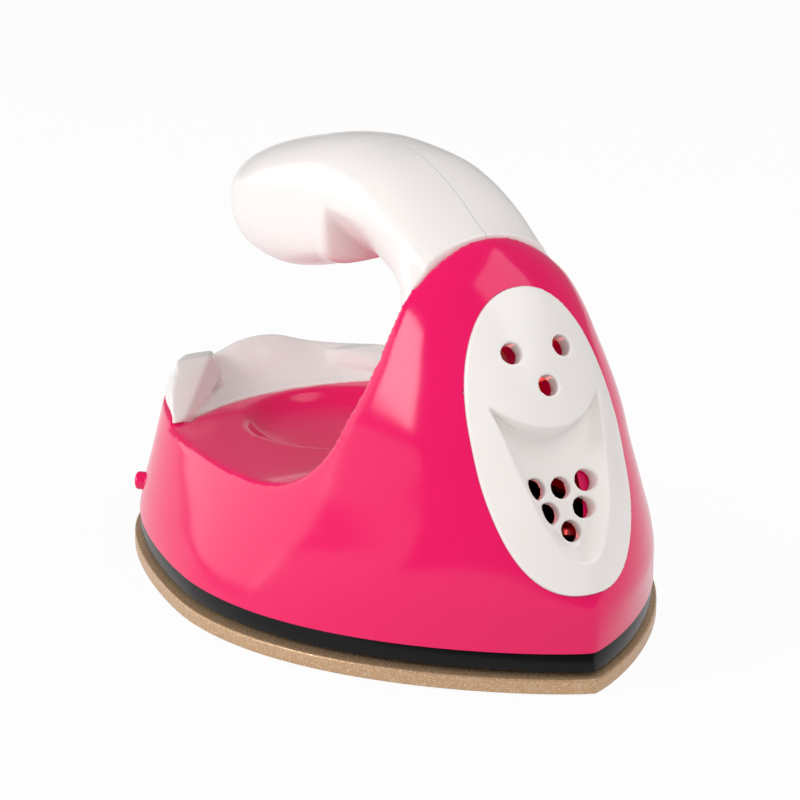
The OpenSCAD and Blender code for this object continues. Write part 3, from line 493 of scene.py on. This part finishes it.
def make_body():
    """The pink shell. Its base starts lower, so that softening leaves a crisp lower edge."""
    body = shell_solid("pink_body", 0, down=base_spare)
    carve(body, opening(0))
    bowl = [(0, -dish_depth)] + [(dish_radius * r, -dish_depth * z) for r, z in bowl_shares]
    bowl += [(dish_radius + 0.3, 0.2), (dish_radius + 0.5, dish_depth), (0, dish_depth)]
    carve(body, turned("dish", bowl, at(dish_x, 0, saddle_height), dish_steps))
    carve(body, crown_prism(0))
    deck = prism("deck", lip_outline(lip_wall), saddle_height, reach_top)
    carve(body, carve(deck, behind("half", dish_x), "INTERSECT"))
    carve(body, hollow_room())
    soften(body, body_voxel, body_smoothing)
    thin_out(body, body_share)
    carve(body, block("below", *below_box))
    # crisp cuts: the face panel's seat, vent ways, handle window, bore, socket and screw holes
    seat = prism("seat", panel_outline(panel_seat_gap), -panel_width, panel_width, ON_PANEL)
    carve(seat, shell_solid("inner", panel_wall + fit_gap, **coarse))
    carve(body, seat)
    carve(body, smile_back(fit_gap, back_spare))
    tools = [rod("way", way_radius, -way_reach, 0, vent_place(x, y)) for x, y in upper_vents]
    window_half = tongue_half + fit_gap
    tools.append(block("window", cowl_rear - 2 * shell_wall, -window_half, tongue_low - fit_gap,
                       cowl_rear + window_reach, window_half, tongue_high + fit_gap))
    tools.append(turned("bore", [(bore_wide, -collar_depth - 2), (bore_wide, -bore_step),
                                 (bore_narrow, -bore_step), (bore_narrow, bore_reach)], BUTTON))
    tilt = at(-half_length, 0, socket_z) @ Matrix.Rotation(math.radians(90), 4, "Y")
    tools.append(rod("socket_hole", socket_radius + socket_gap, 0, half_length * 0.2, tilt))
    tools += [rod("hole", post_bore, crown_seat - post_bore_depth, crown_seat + 1, place)
              for place in post_places]
    return crisp(carve(body, joined(tools)), angle=58)


# ---------------------------------------------------------------- white heel crown
crown_top, crown_reach, crown_gap, crown_half_turn = 26.5, 13, 0.09, 41
crown_inset, crown_overlap, far_side_drop = 0.2, 0.6, 0.08
turn_steps, section_steps = 60, 6
crown_voxel, crown_smoothing = 0.32, 4
# The crown's height round the heel, and its section outwards from the seam, as shares.
crown_height = [1, 0.985, 0.945, 0.92, 0.908, 0.9, 0.89, 0.88, 0.86, 0.84]
section_out = [0, 0.2, 0.4, 0.6, 0.74, 0.82, 0.9, 1, 1.2]
section_up = [0, 0.1, 0.34, 0.66, 0.9, 1, 0.95, 0.6, 0.3]


def crown_room():
    """The room that the crown may fill: flush with the body, and just clear of its seat."""
    flush = shell_solid("flush", crown_inset)
    carve(flush, opening(-fit_gap), "INTERSECT")
    carve(flush, behind("half", seam_front - crown_gap, crown_seat), "INTERSECT")
    carve(flush, seam_rod(crown_gap, crown_seat - 1))
    return carve(flush, crown_prism(-crown_gap), "UNION")


def crown_field():
    """The wavy band round the heel, swept about the seam's centre."""
    cx = seam_x + seam_radius
    rings = []
    for i in range(turn_steps, -turn_steps - 1, -1):
        a = math.pi - i / turn_steps * math.radians(crown_half_turn)
        drop = far_side_drop * i * i / turn_steps ** 2 if i > 0 else 0
        t = crown_top * (flow(crown_height, (len(crown_height) - 1) * abs(i) / turn_steps) - drop)
        ring = []
        for u in [j / section_steps for j in range((len(section_out) - 1) * section_steps + 1)]:
            rr = seam_radius - crown_overlap + crown_reach * flow(section_out, u)
            ring.append((cx + rr * math.cos(a), rr * math.sin(a),
                         saddle_height + (t - saddle_height) * flow(section_up, u)))
        ring += [(ring[-1][0], ring[-1][1], crown_seat), (ring[0][0], ring[0][1], crown_seat)]
        rings.append(ring)
    return sleeve("crown", rings)


# Corners of the crown's horns, and of the small pit in the one nearest the photo's camera.
near_wedge = [(-25.6, 22.7, 20.7), (-28, 26.5, 22.6), (-37.8, 20.5, 26.4), (-38.2, 11.6, 26.5),
              (-43.5, 15, 25.8), (-43, 9, 25.8), (-34.0, 14.6, 21.0), (-38, 9.5, 23)]
pit = [(-40.4, 9.2, 24.6), (-37.2, 8.0, 22.6), (-33.8, 14.8, 21.0), (-38.4, 11.2, 21.2)]
pit_spread = ((0.25, 0, 0), (-0.25, 0, 0), (0, 0.25, 0), (0, -0.25, 0), (0, 0, 0.4))


horn_foot, horn_shoulder, shoulder_drop, tip_drop = 22, 24, 0.6, 2.5


def horn_drop(s, z):
    """How much lower a corner lies on the far horn than on the near one."""
    if s < 0 or z < horn_foot:
        return 0
    return shoulder_drop if z < horn_shoulder else tip_drop


def make_crown():
    crown = crown_field()
    for s in (-1, 1):
        pts = []
        for x, y, z in near_wedge:
            pts += [(x, s * y, crown_seat), (x, s * y, z - horn_drop(s, z))]
        carve(crown, hull("wedge", pts), "UNION")
    carve(crown, crown_room(), "INTERSECT")
    carve(crown, hull("pit", [(x + dx, -y + dy, z + dz) for x, y, z in pit
                              for dx, dy, dz in pit_spread]))
    return soften(crown, crown_voxel, crown_smoothing)


# ---------------------------------------------------------------- smiling vent panel
panel_voxel, panel_smoothing = 0.22, 3


def make_panel():
    panel = prism("vent_panel", panel_outline(0), -panel_width, panel_width, ON_PANEL)
    carve(panel, shell_solid("inner", panel_wall, levels=60, k=40))
    carve(panel, smile_back(0, 0), "UNION")
    carve(panel, shell_solid("outer", -panel_proud), "INTERSECT")
    carve(panel, smile_cut())
    for x, y in hole_points:
        carve(panel, rod("vent", vent_radius, -panel_width, panel_width,
                         vent_place(x, y), fine_steps))
    return soften(panel, panel_voxel, panel_smoothing)


# ---------------------------------------------------------------- handle
least_edge, least_pull_a, least_pull_b = 0.6, 0.5, 0.4
shoulder_rise, ridge_half, hollow_ridge_half = 0.85, 0.05, 0.01
# Sections of the handle from its tip to the cowl: place along the half length; top, widest
# line and underside as shares of its height; half width as a share of its own; then the two
# pulls of the lower curve, and how square its shoulder is.
handle_x = [-0.828, -0.808, -0.76, -0.68, -0.57, -0.45, -0.3, -0.17, -0.1, -0.08, -0.05,
            0.03, 0.12, 0.22, 0.31, 0.38, 0.43, 0.46]
handle_top = [0.79, 0.835, 0.875, 0.903, 0.932, 0.957, 0.984, 0.998, 1, 1, 0.999, 0.995,
              0.984, 0.958, 0.926, 0.894, 0.874, 0.867]
handle_edge = [0.74, 0.765, 0.79, 0.81, 0.83, 0.845, 0.86, 0.866, 0.868, 0.868, 0.868,
               0.868, 0.868, 0.862, 0.85, 0.832, 0.815, 0.808]
handle_low = [0.705, 0.69, 0.674, 0.66, 0.652, 0.657, 0.686, 0.722, 0.733, 0.733, 0.73,
              0.716, 0.694, 0.668, 0.638, 0.604, 0.568, 0.55]
handle_half = [0.15, 0.4, 0.66, 0.82, 0.9, 0.93, 0.94, 0.94, 0.94, 0.94, 0.94, 0.95, 0.96,
               0.96, 0.94, 0.91, 0.89, 0.89]
pull_a_width = [0.15, 0.4, 0.68, 0.84, 0.92, 0.96, 0.97, 0.96, 0.95, 0.72, 0.68, 0.7,
                0.76, 0.86, 1.0, 1.2, 1.42, 1.5]
pull_a_height = [0.74, 0.73, 0.715, 0.705, 0.7, 0.702, 0.71, 0.73, 0.74, 0.8, 0.8, 0.8,
                 0.79, 0.78, 0.765, 0.745, 0.73, 0.72]
pull_b_width = [0.1, 0.25, 0.5, 0.68, 0.78, 0.84, 0.86, 0.85, 0.84, 0.36, 0.3, 0.3, 0.36,
                0.5, 0.8, 1.15, 1.45, 1.6]
pull_b_height = [0.705, 0.69, 0.674, 0.66, 0.652, 0.657, 0.681, 0.702, 0.716, 0.75, 0.749,
                 0.738, 0.716, 0.69, 0.656, 0.62, 0.592, 0.575]
shoulder = [0.55, 0.55, 0.56, 0.58, 0.6, 0.62, 0.64, 0.68, 0.7, 0.7,
            0.72, 0.74, 0.76, 0.74, 0.66, 0.56, 0.5, 0.5]


def handle_ring(u, d, s, k):
    """The outline of one half, on side s, at section u, drawn in by d."""
    hh, hw = handle_height, handle_width / 2
    x = half_length * flow(handle_x, u)
    zt, zb = hh * flow(handle_top, u) - d, hh * flow(handle_low, u) + d
    we, ze = max(hw * flow(handle_half, u) - d, least_edge), hh * flow(handle_edge, u)
    wa, za = max(hw * flow(pull_a_width, u) - d, least_pull_a), hh * flow(pull_a_height, u)
    wb, zbb = max(hw * flow(pull_b_width, u) - d, least_pull_b), hh * flow(pull_b_height, u) + d
    sh = flow(shoulder, u)
    g = hollow_ridge_half if d > 0 else ridge_half

    def curve(a, b, c, e, t):
        return tuple(a[i] * (1 - t) ** 3 + 3 * b[i] * t * (1 - t) ** 2
                     + 3 * c[i] * t * t * (1 - t) + e[i] * t ** 3 for i in (0, 1))
    pts = [(0, zt)]
    ridge, wide = (g, zt), (we, ze)
    pull_in, pull_up = (we * sh, zt), (we, ze + (zt - ze) * sh * shoulder_rise)
    pts += [curve(ridge, pull_in, pull_up, wide, i / k) for i in range(k + 1)]
    pts += [curve(wide, (wa, za), (wb, zbb), (g, zb), i / k) for i in range(1, k + 1)]
    pts += [(0, zb)]
    return [(x, s * p[0], p[1]) for p in pts]


def handle_loft(name, d, s, u0, u1, steps, k):
    """One half of the handle's form, through its sections from u0 to u1."""
    return sleeve(name, [handle_ring(u0 + (u1 - u0) * i / steps, d, s, k)
                         for i in range(steps + 1)])


handle_screws = [at(half_length * -0.45, 0, handle_height * 0.82) @ SIDE,
                 at(half_length * 0.16, 0, handle_height * 0.83) @ SIDE]
last_section = len(handle_x) - 1
handle_voxel, handle_smoothing = 0.38, 4
half_gap, handle_boss, handle_hole, handle_bore = 0.04, screw_head * 0.7, 1.35, 2.55
tongue_root, tongue_tip = cowl_rear - 0.3, half_length * 0.561
half_box_x, half_box_y, half_box_z = 60, 40, 80
form_steps, form_curve = 150, 26
hollow_start, hollow_stop, hollow_steps, hollow_curve = 1.2, last_section - 0.8, 40, 12


def handle_form():
    """The whole handle outside, both halves as one smooth form."""
    form = handle_loft("handle_form", 0, -1, 0, last_section, form_steps, form_curve)
    carve(form, handle_loft("far", 0, 1, 0, last_section, form_steps, form_curve), "UNION")
    carve(form, opening(0), "INTERSECT")
    return soften(form, handle_voxel, handle_smoothing)


def make_grip(name, s, form):
    """One half of the handle, parted at its joint face, hollow, with its tongue and screw holes."""
    grip = form.copy()
    grip.data = form.data.copy()
    grip.name = name
    bpy.context.scene.collection.objects.link(grip)
    y0, y1 = sorted((s * half_gap, s * half_box_y))
    carve(grip, block("half", -half_box_x, y0, 0, half_box_x, y1, half_box_z), "INTERSECT")
    inner = handle_loft("inner", handle_wall, s, hollow_start, hollow_stop,
                        hollow_steps, hollow_curve)
    for place in handle_screws:
        carve(inner, rod("boss", handle_boss, -through, through, place))
    carve(grip, inner)
    y0, y1 = sorted((s * half_gap, s * tongue_half))
    carve(grip, block("tongue", tongue_root, y0, tongue_low, tongue_tip, y1, tongue_high), "UNION")
    for place in handle_screws:
        carve(grip, rod("hole", handle_hole, -tongue_half, tongue_half, place, hole_steps))
        if s > 0:
            carve(grip, rod("counterbore", handle_bore, -through, -tongue_half, place, fine_steps))
    return crisp(grip, angle=40)


# ---------------------------------------------------------------- sole plate and heatproof ring
plate_curves = [1.5, 3.075, 2.056, 1.191]
plate_waist = half_length * -0.018
plate_edge, plate_rim, edge_steps, underside_share = 0.35, 2.15, 5, 0.97
# Steps inwards from the rim: how far in, and how high.
plate_steps = ((1.2, 2.2), (3.4, 2.8))
pad_box = (-26, -12, 2.7, 22, 12, 4.4)
ring_foot, ring_rise, foot_inset, top_inset, nose_share = 3.05, 2.55, 0.9, 0.35, 0.6
# The ring's wall, from its foot to its top: share of the height, and how far it bulges.
ring_bulge = ((0, -0.25), (0.04, -0.06), (0.1, 0), (0.5, 0.03), (0.9, 0), (0.96, -0.05), (1, -0.22))
# inside the ring: a sunk floor, the way for the heater, and a rim that centres the body
floor_inset, floor_z, heater_way = 3.2, 5.3, 7
rim_outer, rim_inner, rim_low, rim_high, rim_gap = 2.6, 3.9, 5.29, 7.1, 5.3
ring_clear = 9
# ribs under the ring, down to the plate
skirt_inset, skirt_wall, skirt_low, skirt_high = 2.6, 1.6, 2.83, 3.6
rib_half, rib_places, rib_top = 1.5, (-0.7, -0.42, -0.14, 0.14), 5
nose_rib_x, heel_rib_x, heel_rib_y = half_length * 0.45, -35, 12.25


def plate_outline(d):
    """The plate's outline, drawn in by d."""
    return plan(half_width - d, d - half_length, plate_waist, half_length - d, plate_curves)


def make_plate():
    """The plate: rounded edges, thinner at its rim, with the heater's pad on top."""
    rings = [[(x * underside_share, y * underside_share, 0) for x, y in plate_outline(plate_edge)]]
    for z0, way in ((0, -1), (plate_rim, 1)):
        part = []
        for i in range(edge_steps + 1):
            a = math.radians(i * 90 / edge_steps)
            z = z0 - way * plate_edge * (1 - math.sin(a))
            part.append([(x, y, z) for x, y in plate_outline(plate_edge * (1 - math.cos(a)))])
        rings += part if way > 0 else part[::-1]
    for inset, z in plate_steps:
        rings.append([(x, y, z) for x, y in plate_outline(inset)])
    plate = sleeve("sole_plate", rings)
    carve(plate, block("pad", *pad_box), "UNION")
    return crisp(plate, angle=30)


def foot_outline(d):
    """The ring's foot on the plate, drawn in by d and less at the nose."""
    return plan(half_width - d, d - half_length, plate_waist,
                half_length - d * nose_share, plate_curves)


def base_outline(d):
    """The body's lowest outline, drawn in by d."""
    return [(x, y) for x, y, z in shell_ring(0, d)]


def make_ring():
    """The ring: its wall, the rim that stands inside the body, and ribs down to the plate."""
    foot, base = np.array(foot_outline(foot_inset)), np.array(base_outline(top_inset))
    rings = []
    for t, bulge in ring_bulge:
        p = shifted(foot * (1 - t) + base * t, bulge)
        rings.append([(x, y, ring_foot + ring_rise * t) for x, y in p])
    ring = sleeve("heatproof_ring", rings)
    outline = base_outline(0)
    carve(ring, prism("room", shifted(outline, -floor_inset), floor_z, ring_clear))
    carve(ring, prism("way", shifted(outline, -heater_way), 2, ring_clear))
    rim = prism("rim", shifted(outline, -rim_outer), rim_low, rim_high)
    carve(rim, prism("rim_in", shifted(outline, -rim_inner), 5, 8))
    carve(rim, rod("gap", rim_gap, 0, through, at(button_x, button_y)))
    skirt = prism("skirt", foot_outline(skirt_inset), skirt_low, skirt_high)
    carve(skirt, prism("skirt_in", shifted(foot_outline(skirt_inset), -skirt_wall), 0, ring_clear))
    keep = block("keep", nose_rib_x, -reach_y, 0, reach_x, reach_y, rib_top)
    for x in rib_places:
        carve(keep, block("keep", half_length * x - rib_half, -reach_y, 0,
                          half_length * x + rib_half, reach_y, rib_top), "UNION")
    for s in (-1, 1):
        carve(keep, block("keep", -reach_x, s * heel_rib_y - rib_half, 0,
                          heel_rib_x, s * heel_rib_y + rib_half, rib_top), "UNION")
    carve(skirt, keep, "INTERSECT")
    return crisp(joined([ring, rim, skirt]), angle=32)


# ---------------------------------------------------------------- button
def make_button():
    """The button with its flange and a rounded tip."""
    foot, shoulder_z = -(flange_top + flange_thick), button_proud - button_edge
    profile = [(0, foot), (flange_radius, foot), (flange_radius, -flange_top),
               (button_radius, -flange_top), (button_radius, shoulder_z)]
    for i in range(1, tip_steps + 1):
        a = math.radians(i * 90 / tip_steps)
        profile.append((button_radius - button_edge * (1 - math.cos(a)),
                        shoulder_z + button_edge * math.sin(a)))
    profile += [(button_radius * 0.35, button_proud), (0, button_proud)]
    return crisp(turned("press_button", profile, BUTTON, fine_steps), angle=40)


# ---------------------------------------------------------------- finishes
def feed(tree, inputs, values):
    """Sets each named input to its value, or links it where the value is an output."""
    for key, value in values.items():
        if isinstance(value, bpy.types.NodeSocket):
            tree.links.new(value, inputs[key])
        else:
            inputs[key].default_value = value


def shader_node(tree, kind, values=None, **settings):
    """A new node with its settings and what feeds its inputs."""
    new = tree.nodes.new("ShaderNode" + kind)
    for key, value in settings.items():
        setattr(new, key, value)
    feed(tree, new.inputs, values or {})
    return new


def skin_group(name, given):
    """A group with its inputs as given, and colour, roughness and normal as its outputs."""
    g = bpy.data.node_groups.new(name, "ShaderNodeTree")
    for key, value in given.items():
        kind = "NodeSocketColor" if isinstance(value, tuple) else "NodeSocketFloat"
        g.interface.new_socket(key, in_out="INPUT", socket_type=kind).default_value = value
    for key, kind in (("Colour", "Color"), ("Rough", "Float"), ("Normal", "Vector")):
        g.interface.new_socket(key, in_out="OUTPUT", socket_type="NodeSocket" + kind)
    return g, g.nodes.new("NodeGroupInput").outputs, g.nodes.new("NodeGroupOutput").inputs


def moulded_group():
    """Even moulded colour with a slow drift, and a faint orange peel."""
    g, given, result = skin_group("moulded_skin", {
        "Colour": (0.8, 0.8, 0.8, 1), "Drift": 0.05, "Rough": 0.15, "Rough drift": 0.05,
        "Grain": 300.0, "Peel": 0.03})
    place = shader_node(g, "TexCoord").outputs["Object"]
    slow = shader_node(g, "TexNoise", {"Vector": place, "Scale": 45, "Detail": 3})
    fine = shader_node(g, "TexNoise", {"Vector": place, "Scale": given["Grain"], "Detail": 2})
    # colour and roughness both drift round their written values
    centred = shader_node(g, "Math", {0: slow.outputs["Fac"], 1: 0.5}, operation="SUBTRACT")
    drift = centred.outputs[0]
    scaled = shader_node(g, "Math", {0: drift, 1: given["Drift"], 2: 1}, operation="MULTIPLY_ADD")
    tint = shader_node(g, "VectorMath", {0: given["Colour"], "Scale": scaled.outputs[0]},
                       operation="SCALE")
    rough = shader_node(g, "Math", {0: drift, 1: given["Rough drift"], 2: given["Rough"]},
                        operation="MULTIPLY_ADD")
    bump = shader_node(g, "Bump", {"Distance": 0.0002, "Height": fine.outputs["Fac"],
                                   "Strength": given["Peel"]})
    feed(g, result, {"Colour": tint.outputs[0], "Rough": rough.outputs[0],
                     "Normal": bump.outputs["Normal"]})
    return g


def grained_group():
    """Fine metal or powder grain: sparkle in colour and roughness, with a shallow bump."""
    g, given, result = skin_group("fine_grain", {
        "Colour": (0.6, 0.6, 0.6, 1), "Fleck": (1, 1, 1, 1), "Fleck share": 0.3, "Rough": 0.4,
        "Grain": 2500.0, "Depth": 0.2})
    place = shader_node(g, "TexCoord").outputs["Object"]
    cell = shader_node(g, "TexVoronoi", {"Vector": place, "Scale": given["Grain"]})
    chance = shader_node(g, "SeparateColor", {0: cell.outputs["Color"]}).outputs
    ramp = shader_node(g, "MapRange", {"Value": chance[0], "From Min": 0.55})
    share = shader_node(g, "Math", {0: ramp.outputs[0], 1: given["Fleck share"]},
                        operation="MULTIPLY")
    mix = shader_node(g, "Mix", {"Factor": share.outputs[0], "A": given["Colour"],
                                 "B": given["Fleck"]}, data_type="RGBA")
    rough = shader_node(g, "Math", {0: chance[1], 1: -0.25, 2: given["Rough"]},
                        operation="MULTIPLY_ADD")
    bump = shader_node(g, "Bump", {"Distance": 0.0001, "Height": chance[2],
                                   "Strength": given["Depth"]})
    feed(g, result, {"Colour": mix.outputs["Result"], "Rough": rough.outputs[0],
                     "Normal": bump.outputs["Normal"]})
    return g


MOULDED, GRAINED = moulded_group(), grained_group()


def finish_of(name, group, values, **sockets):
    """A finish: one shader fed by a group, with its constants on the shader's own sockets."""
    mat = bpy.data.materials.new(name)
    mat.use_nodes = True
    tree = mat.node_tree
    shader = tree.nodes["Principled BSDF"]
    skin = shader_node(tree, "Group", values, node_tree=group).outputs
    feed(tree, shader.inputs, {"Base Color": skin["Colour"], "Roughness": skin["Rough"],
                               "Normal": skin["Normal"]})
    feed(tree, shader.inputs, {key.replace("_", " "): value for key, value in sockets.items()})
    mat.diffuse_color = values["Colour"]
    return mat


def srgb(text):
    """A colour written as six hex digits, as linear values."""
    c = [int(text[i:i + 2], 16) / 255 for i in (0, 2, 4)]
    return tuple(v / 12.92 if v <= 0.04045 else ((v + 0.055) / 1.055) ** 2.4 for v in c) + (1.0,)


def moulded(name, colour, drift, rough, rough_drift, grain, peel, **sockets):
    return finish_of(name, MOULDED, {
        "Colour": srgb(colour), "Drift": drift, "Rough": rough, "Rough drift": rough_drift,
        "Grain": grain, "Peel": peel}, **sockets)


def grained(name, colour, fleck, share, rough, grain, depth, **sockets):
    return finish_of(name, GRAINED, {
        "Colour": srgb(colour), "Fleck": srgb(fleck), "Fleck share": share, "Rough": rough,
        "Grain": grain, "Depth": depth}, **sockets)


# name, colour, drift of colour, roughness, its drift, grain, depth of the orange peel
pink = moulded("pink_gloss", "E90A60", 0.04, 0.14, 0.05, 260.0, 0.02, Specular_IOR_Level=0.42)
white = moulded("white_gloss", "F0EAE7", 0.03, 0.2, 0.06, 300.0, 0.025,
                Coat_Weight=0.1, Coat_Roughness=0.06)
black = moulded("black_heatproof", "080707", 0.3, 0.25, 0.1, 900.0, 0.12, Specular_IOR_Level=0.22)
board = moulded("board_green", "1E6B3C", 0.25, 0.35, 0.1, 1500.0, 0.1)
matte = moulded("black_matte", "17171A", 0.25, 0.55, 0.1, 1200.0, 0.3)
dark_rubber = moulded("rubber_dark", "2A2A2C", 0.25, 0.75, 0.1, 1400.0, 0.35)
wire = moulded("wire_red", "B3201C", 0.1, 0.4, 0.1, 900.0, 0.1)
# name, colour, colour of the flecks, their share, roughness, grain, depth of the bump
sole = grained("sole_coating", "C5A07A", "F6E6CC", 0.4, 0.5, 5600.0, 0.3, Metallic=0.5)
steel = grained("steel", "A9ABAF", "C8CACD", 0.3, 0.38, 1800.0, 0.1, Metallic=1.0)
ceramic = grained("ceramic", "E3DED2", "CFC8B8", 0.4, 0.7, 2200.0, 0.3)
mica = grained("mica", "B8A98C", "E4DCC4", 0.6, 0.35, 900.0, 0.15)

node_finish = {"soleplate": sole, "heat_shield_ring": black, "body_shell": pink,
               "heel_crown": white, "face_panel": white, "handle_right_half": white,
               "handle_left_half": white, "heater_element": ceramic,
               "mica_insulator": mica, "heater_clamp": steel,
               "thermal_cutout": steel, "circuit_board": board, "push_switch": matte,
               "power_button": pink, "return_sleeve": dark_rubber, "power_socket": matte,
               "lead_wires": wire, "plate_screws": steel, "shell_screws": steel,
               "clamp_screws": steel, "handle_screws": steel}
for node, mat in node_finish.items():
    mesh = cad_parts[node].data
    if mesh.materials:
        for i in range(len(mesh.materials)):
            mesh.materials[i] = mat
    else:
        mesh.materials.append(mat)


def stands_for(obj, node, body="iron"):
    """Gives a form its CAD node's finish, and lets it replace that node and ride its body."""
    obj.data.materials.clear()
    obj.data.materials.append(node_finish[node])
    for poly in obj.data.polygons:
        poly.material_index = 0
    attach(obj, body)
    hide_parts(node)


stands_for(make_body(), "body_shell")
stands_for(make_crown(), "heel_crown")
stands_for(make_panel(), "face_panel")
handle = handle_form()
stands_for(make_grip("grip_right", -1, handle), "handle_right_half")
stands_for(make_grip("grip_left", 1, handle), "handle_left_half")
bpy.data.objects.remove(handle, do_unlink=True)
stands_for(make_plate(), "soleplate")
stands_for(make_ring(), "heat_shield_ring")
stands_for(make_button(), "power_button", "button")
for node, slot in (("power_socket", "black_matte"), ("handle_screws", "steel"),
                   ("shell_screws", "steel"), ("plate_screws", "steel"),
                   ("clamp_screws", "steel"), ("lead_wires", "wire_red")):
    stands_for(smooth_copy(node, node + "_smooth"), node)
rubber = smooth_copy("return_sleeve", "return_sleeve_smooth")
stands_for(rubber, "return_sleeve")
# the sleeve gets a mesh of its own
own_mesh(rubber)

# ---------------------------------------------------------------- studio
bpy.ops.object.select_all(action="DESELECT")
bpy.ops.mesh.primitive_plane_add(size=6, location=(0, 0, -0.0002))
floor = bpy.context.object
floor.name = "studio_floor"
paper = bpy.data.materials.new("studio_floor")
paper.use_nodes = True
tree = paper.node_tree
lit = tree.nodes["Principled BSDF"]
feed(tree, lit.inputs, {"Base Color": (0.86, 0.86, 0.86, 1), "Roughness": 0.9})
# nearly white to the camera, half as bright in reflections
rays = shader_node(tree, "LightPath").outputs
mirrored = shader_node(tree, "Math", {0: rays["Is Glossy Ray"], 1: 0.5}, operation="MULTIPLY")
share = shader_node(tree, "Math", {0: rays["Is Camera Ray"], 1: 0.94, 2: mirrored.outputs[0]},
                    operation="MULTIPLY_ADD")
bright = shader_node(tree, "Emission")
mixer = shader_node(tree, "MixShader", {0: share.outputs[0], 1: lit.outputs[0],
                                        2: bright.outputs[0]})
feed(tree, tree.nodes["Material Output"].inputs, {"Surface": mixer.outputs[0]})
floor.data.materials.append(paper)

world = bpy.context.scene.world or bpy.data.worlds.new("studio")
bpy.context.scene.world = world
world.use_nodes = True
tree = world.node_tree
tree.nodes.clear()
# white to the camera, dimmer as light and dimmer still in reflections
rays = shader_node(tree, "LightPath").outputs
level = shader_node(tree, "Math", {0: rays["Is Glossy Ray"], 1: -0.25, 2: 0.5},
                    operation="MULTIPLY_ADD")
strength = shader_node(tree, "Math", {0: rays["Is Camera Ray"], 1: level.outputs[0]},
                       operation="MAXIMUM")
back = shader_node(tree, "Background", {"Color": (1, 1, 1, 1), "Strength": strength.outputs[0]})
shader_node(tree, "OutputWorld", {0: back.outputs[0]})


lamp_target = Vector((0, 0, 0.03))


def lamp(name, way, distance, size_x, size_y, radiance):
    """A softbox that faces the iron from its way and distance, in metres."""
    data = bpy.data.lights.new(name, "AREA")
    data.shape = "RECTANGLE"
    data.size, data.size_y = size_x, size_y
    data.energy = radiance * math.pi * size_x * size_y
    obj = bpy.data.objects.new(name, data)
    bpy.context.scene.collection.objects.link(obj)
    way = Vector(way).normalized()
    obj.location = lamp_target + way * distance
    obj.rotation_euler = way.to_track_quat("Z", "Y").to_euler()
    return obj


lamp("key_box", (-0.1, -0.9, 0.43), 0.6, 0.29, 0.2, 7.0)
lamp("left_wall", (-0.76, -0.6, 0.2), 0.65, 0.62, 0.27, 1.5)
lamp("top_box", (0.42, 0.36, 0.83), 0.6, 0.46, 0.4, 1.7)
lamp("low_wall", (-0.15, -0.98, 0.06), 0.65, 0.5, 0.12, 0.8)
fill = lamp("front_fill", (0.8, -0.42, 0.5), 0.9, 0.5, 0.5, 1.7)
fill.visible_glossy = False
# a weak red light inside the body, for the dark red behind the vents
glow = bpy.data.lights.new("inner_glow", "POINT")
glow.energy = 0.005
glow.color = (1, 0.12, 0.1)
glow.shadow_soft_size = 0.004
glow.specular_factor = 0.1
inside = bpy.data.objects.new("inner_glow", glow)
bpy.context.scene.collection.objects.link(inside)
inside.location = Vector((20, 0, 17)) * MM

bpy.context.scene.view_settings.view_transform = "Standard"
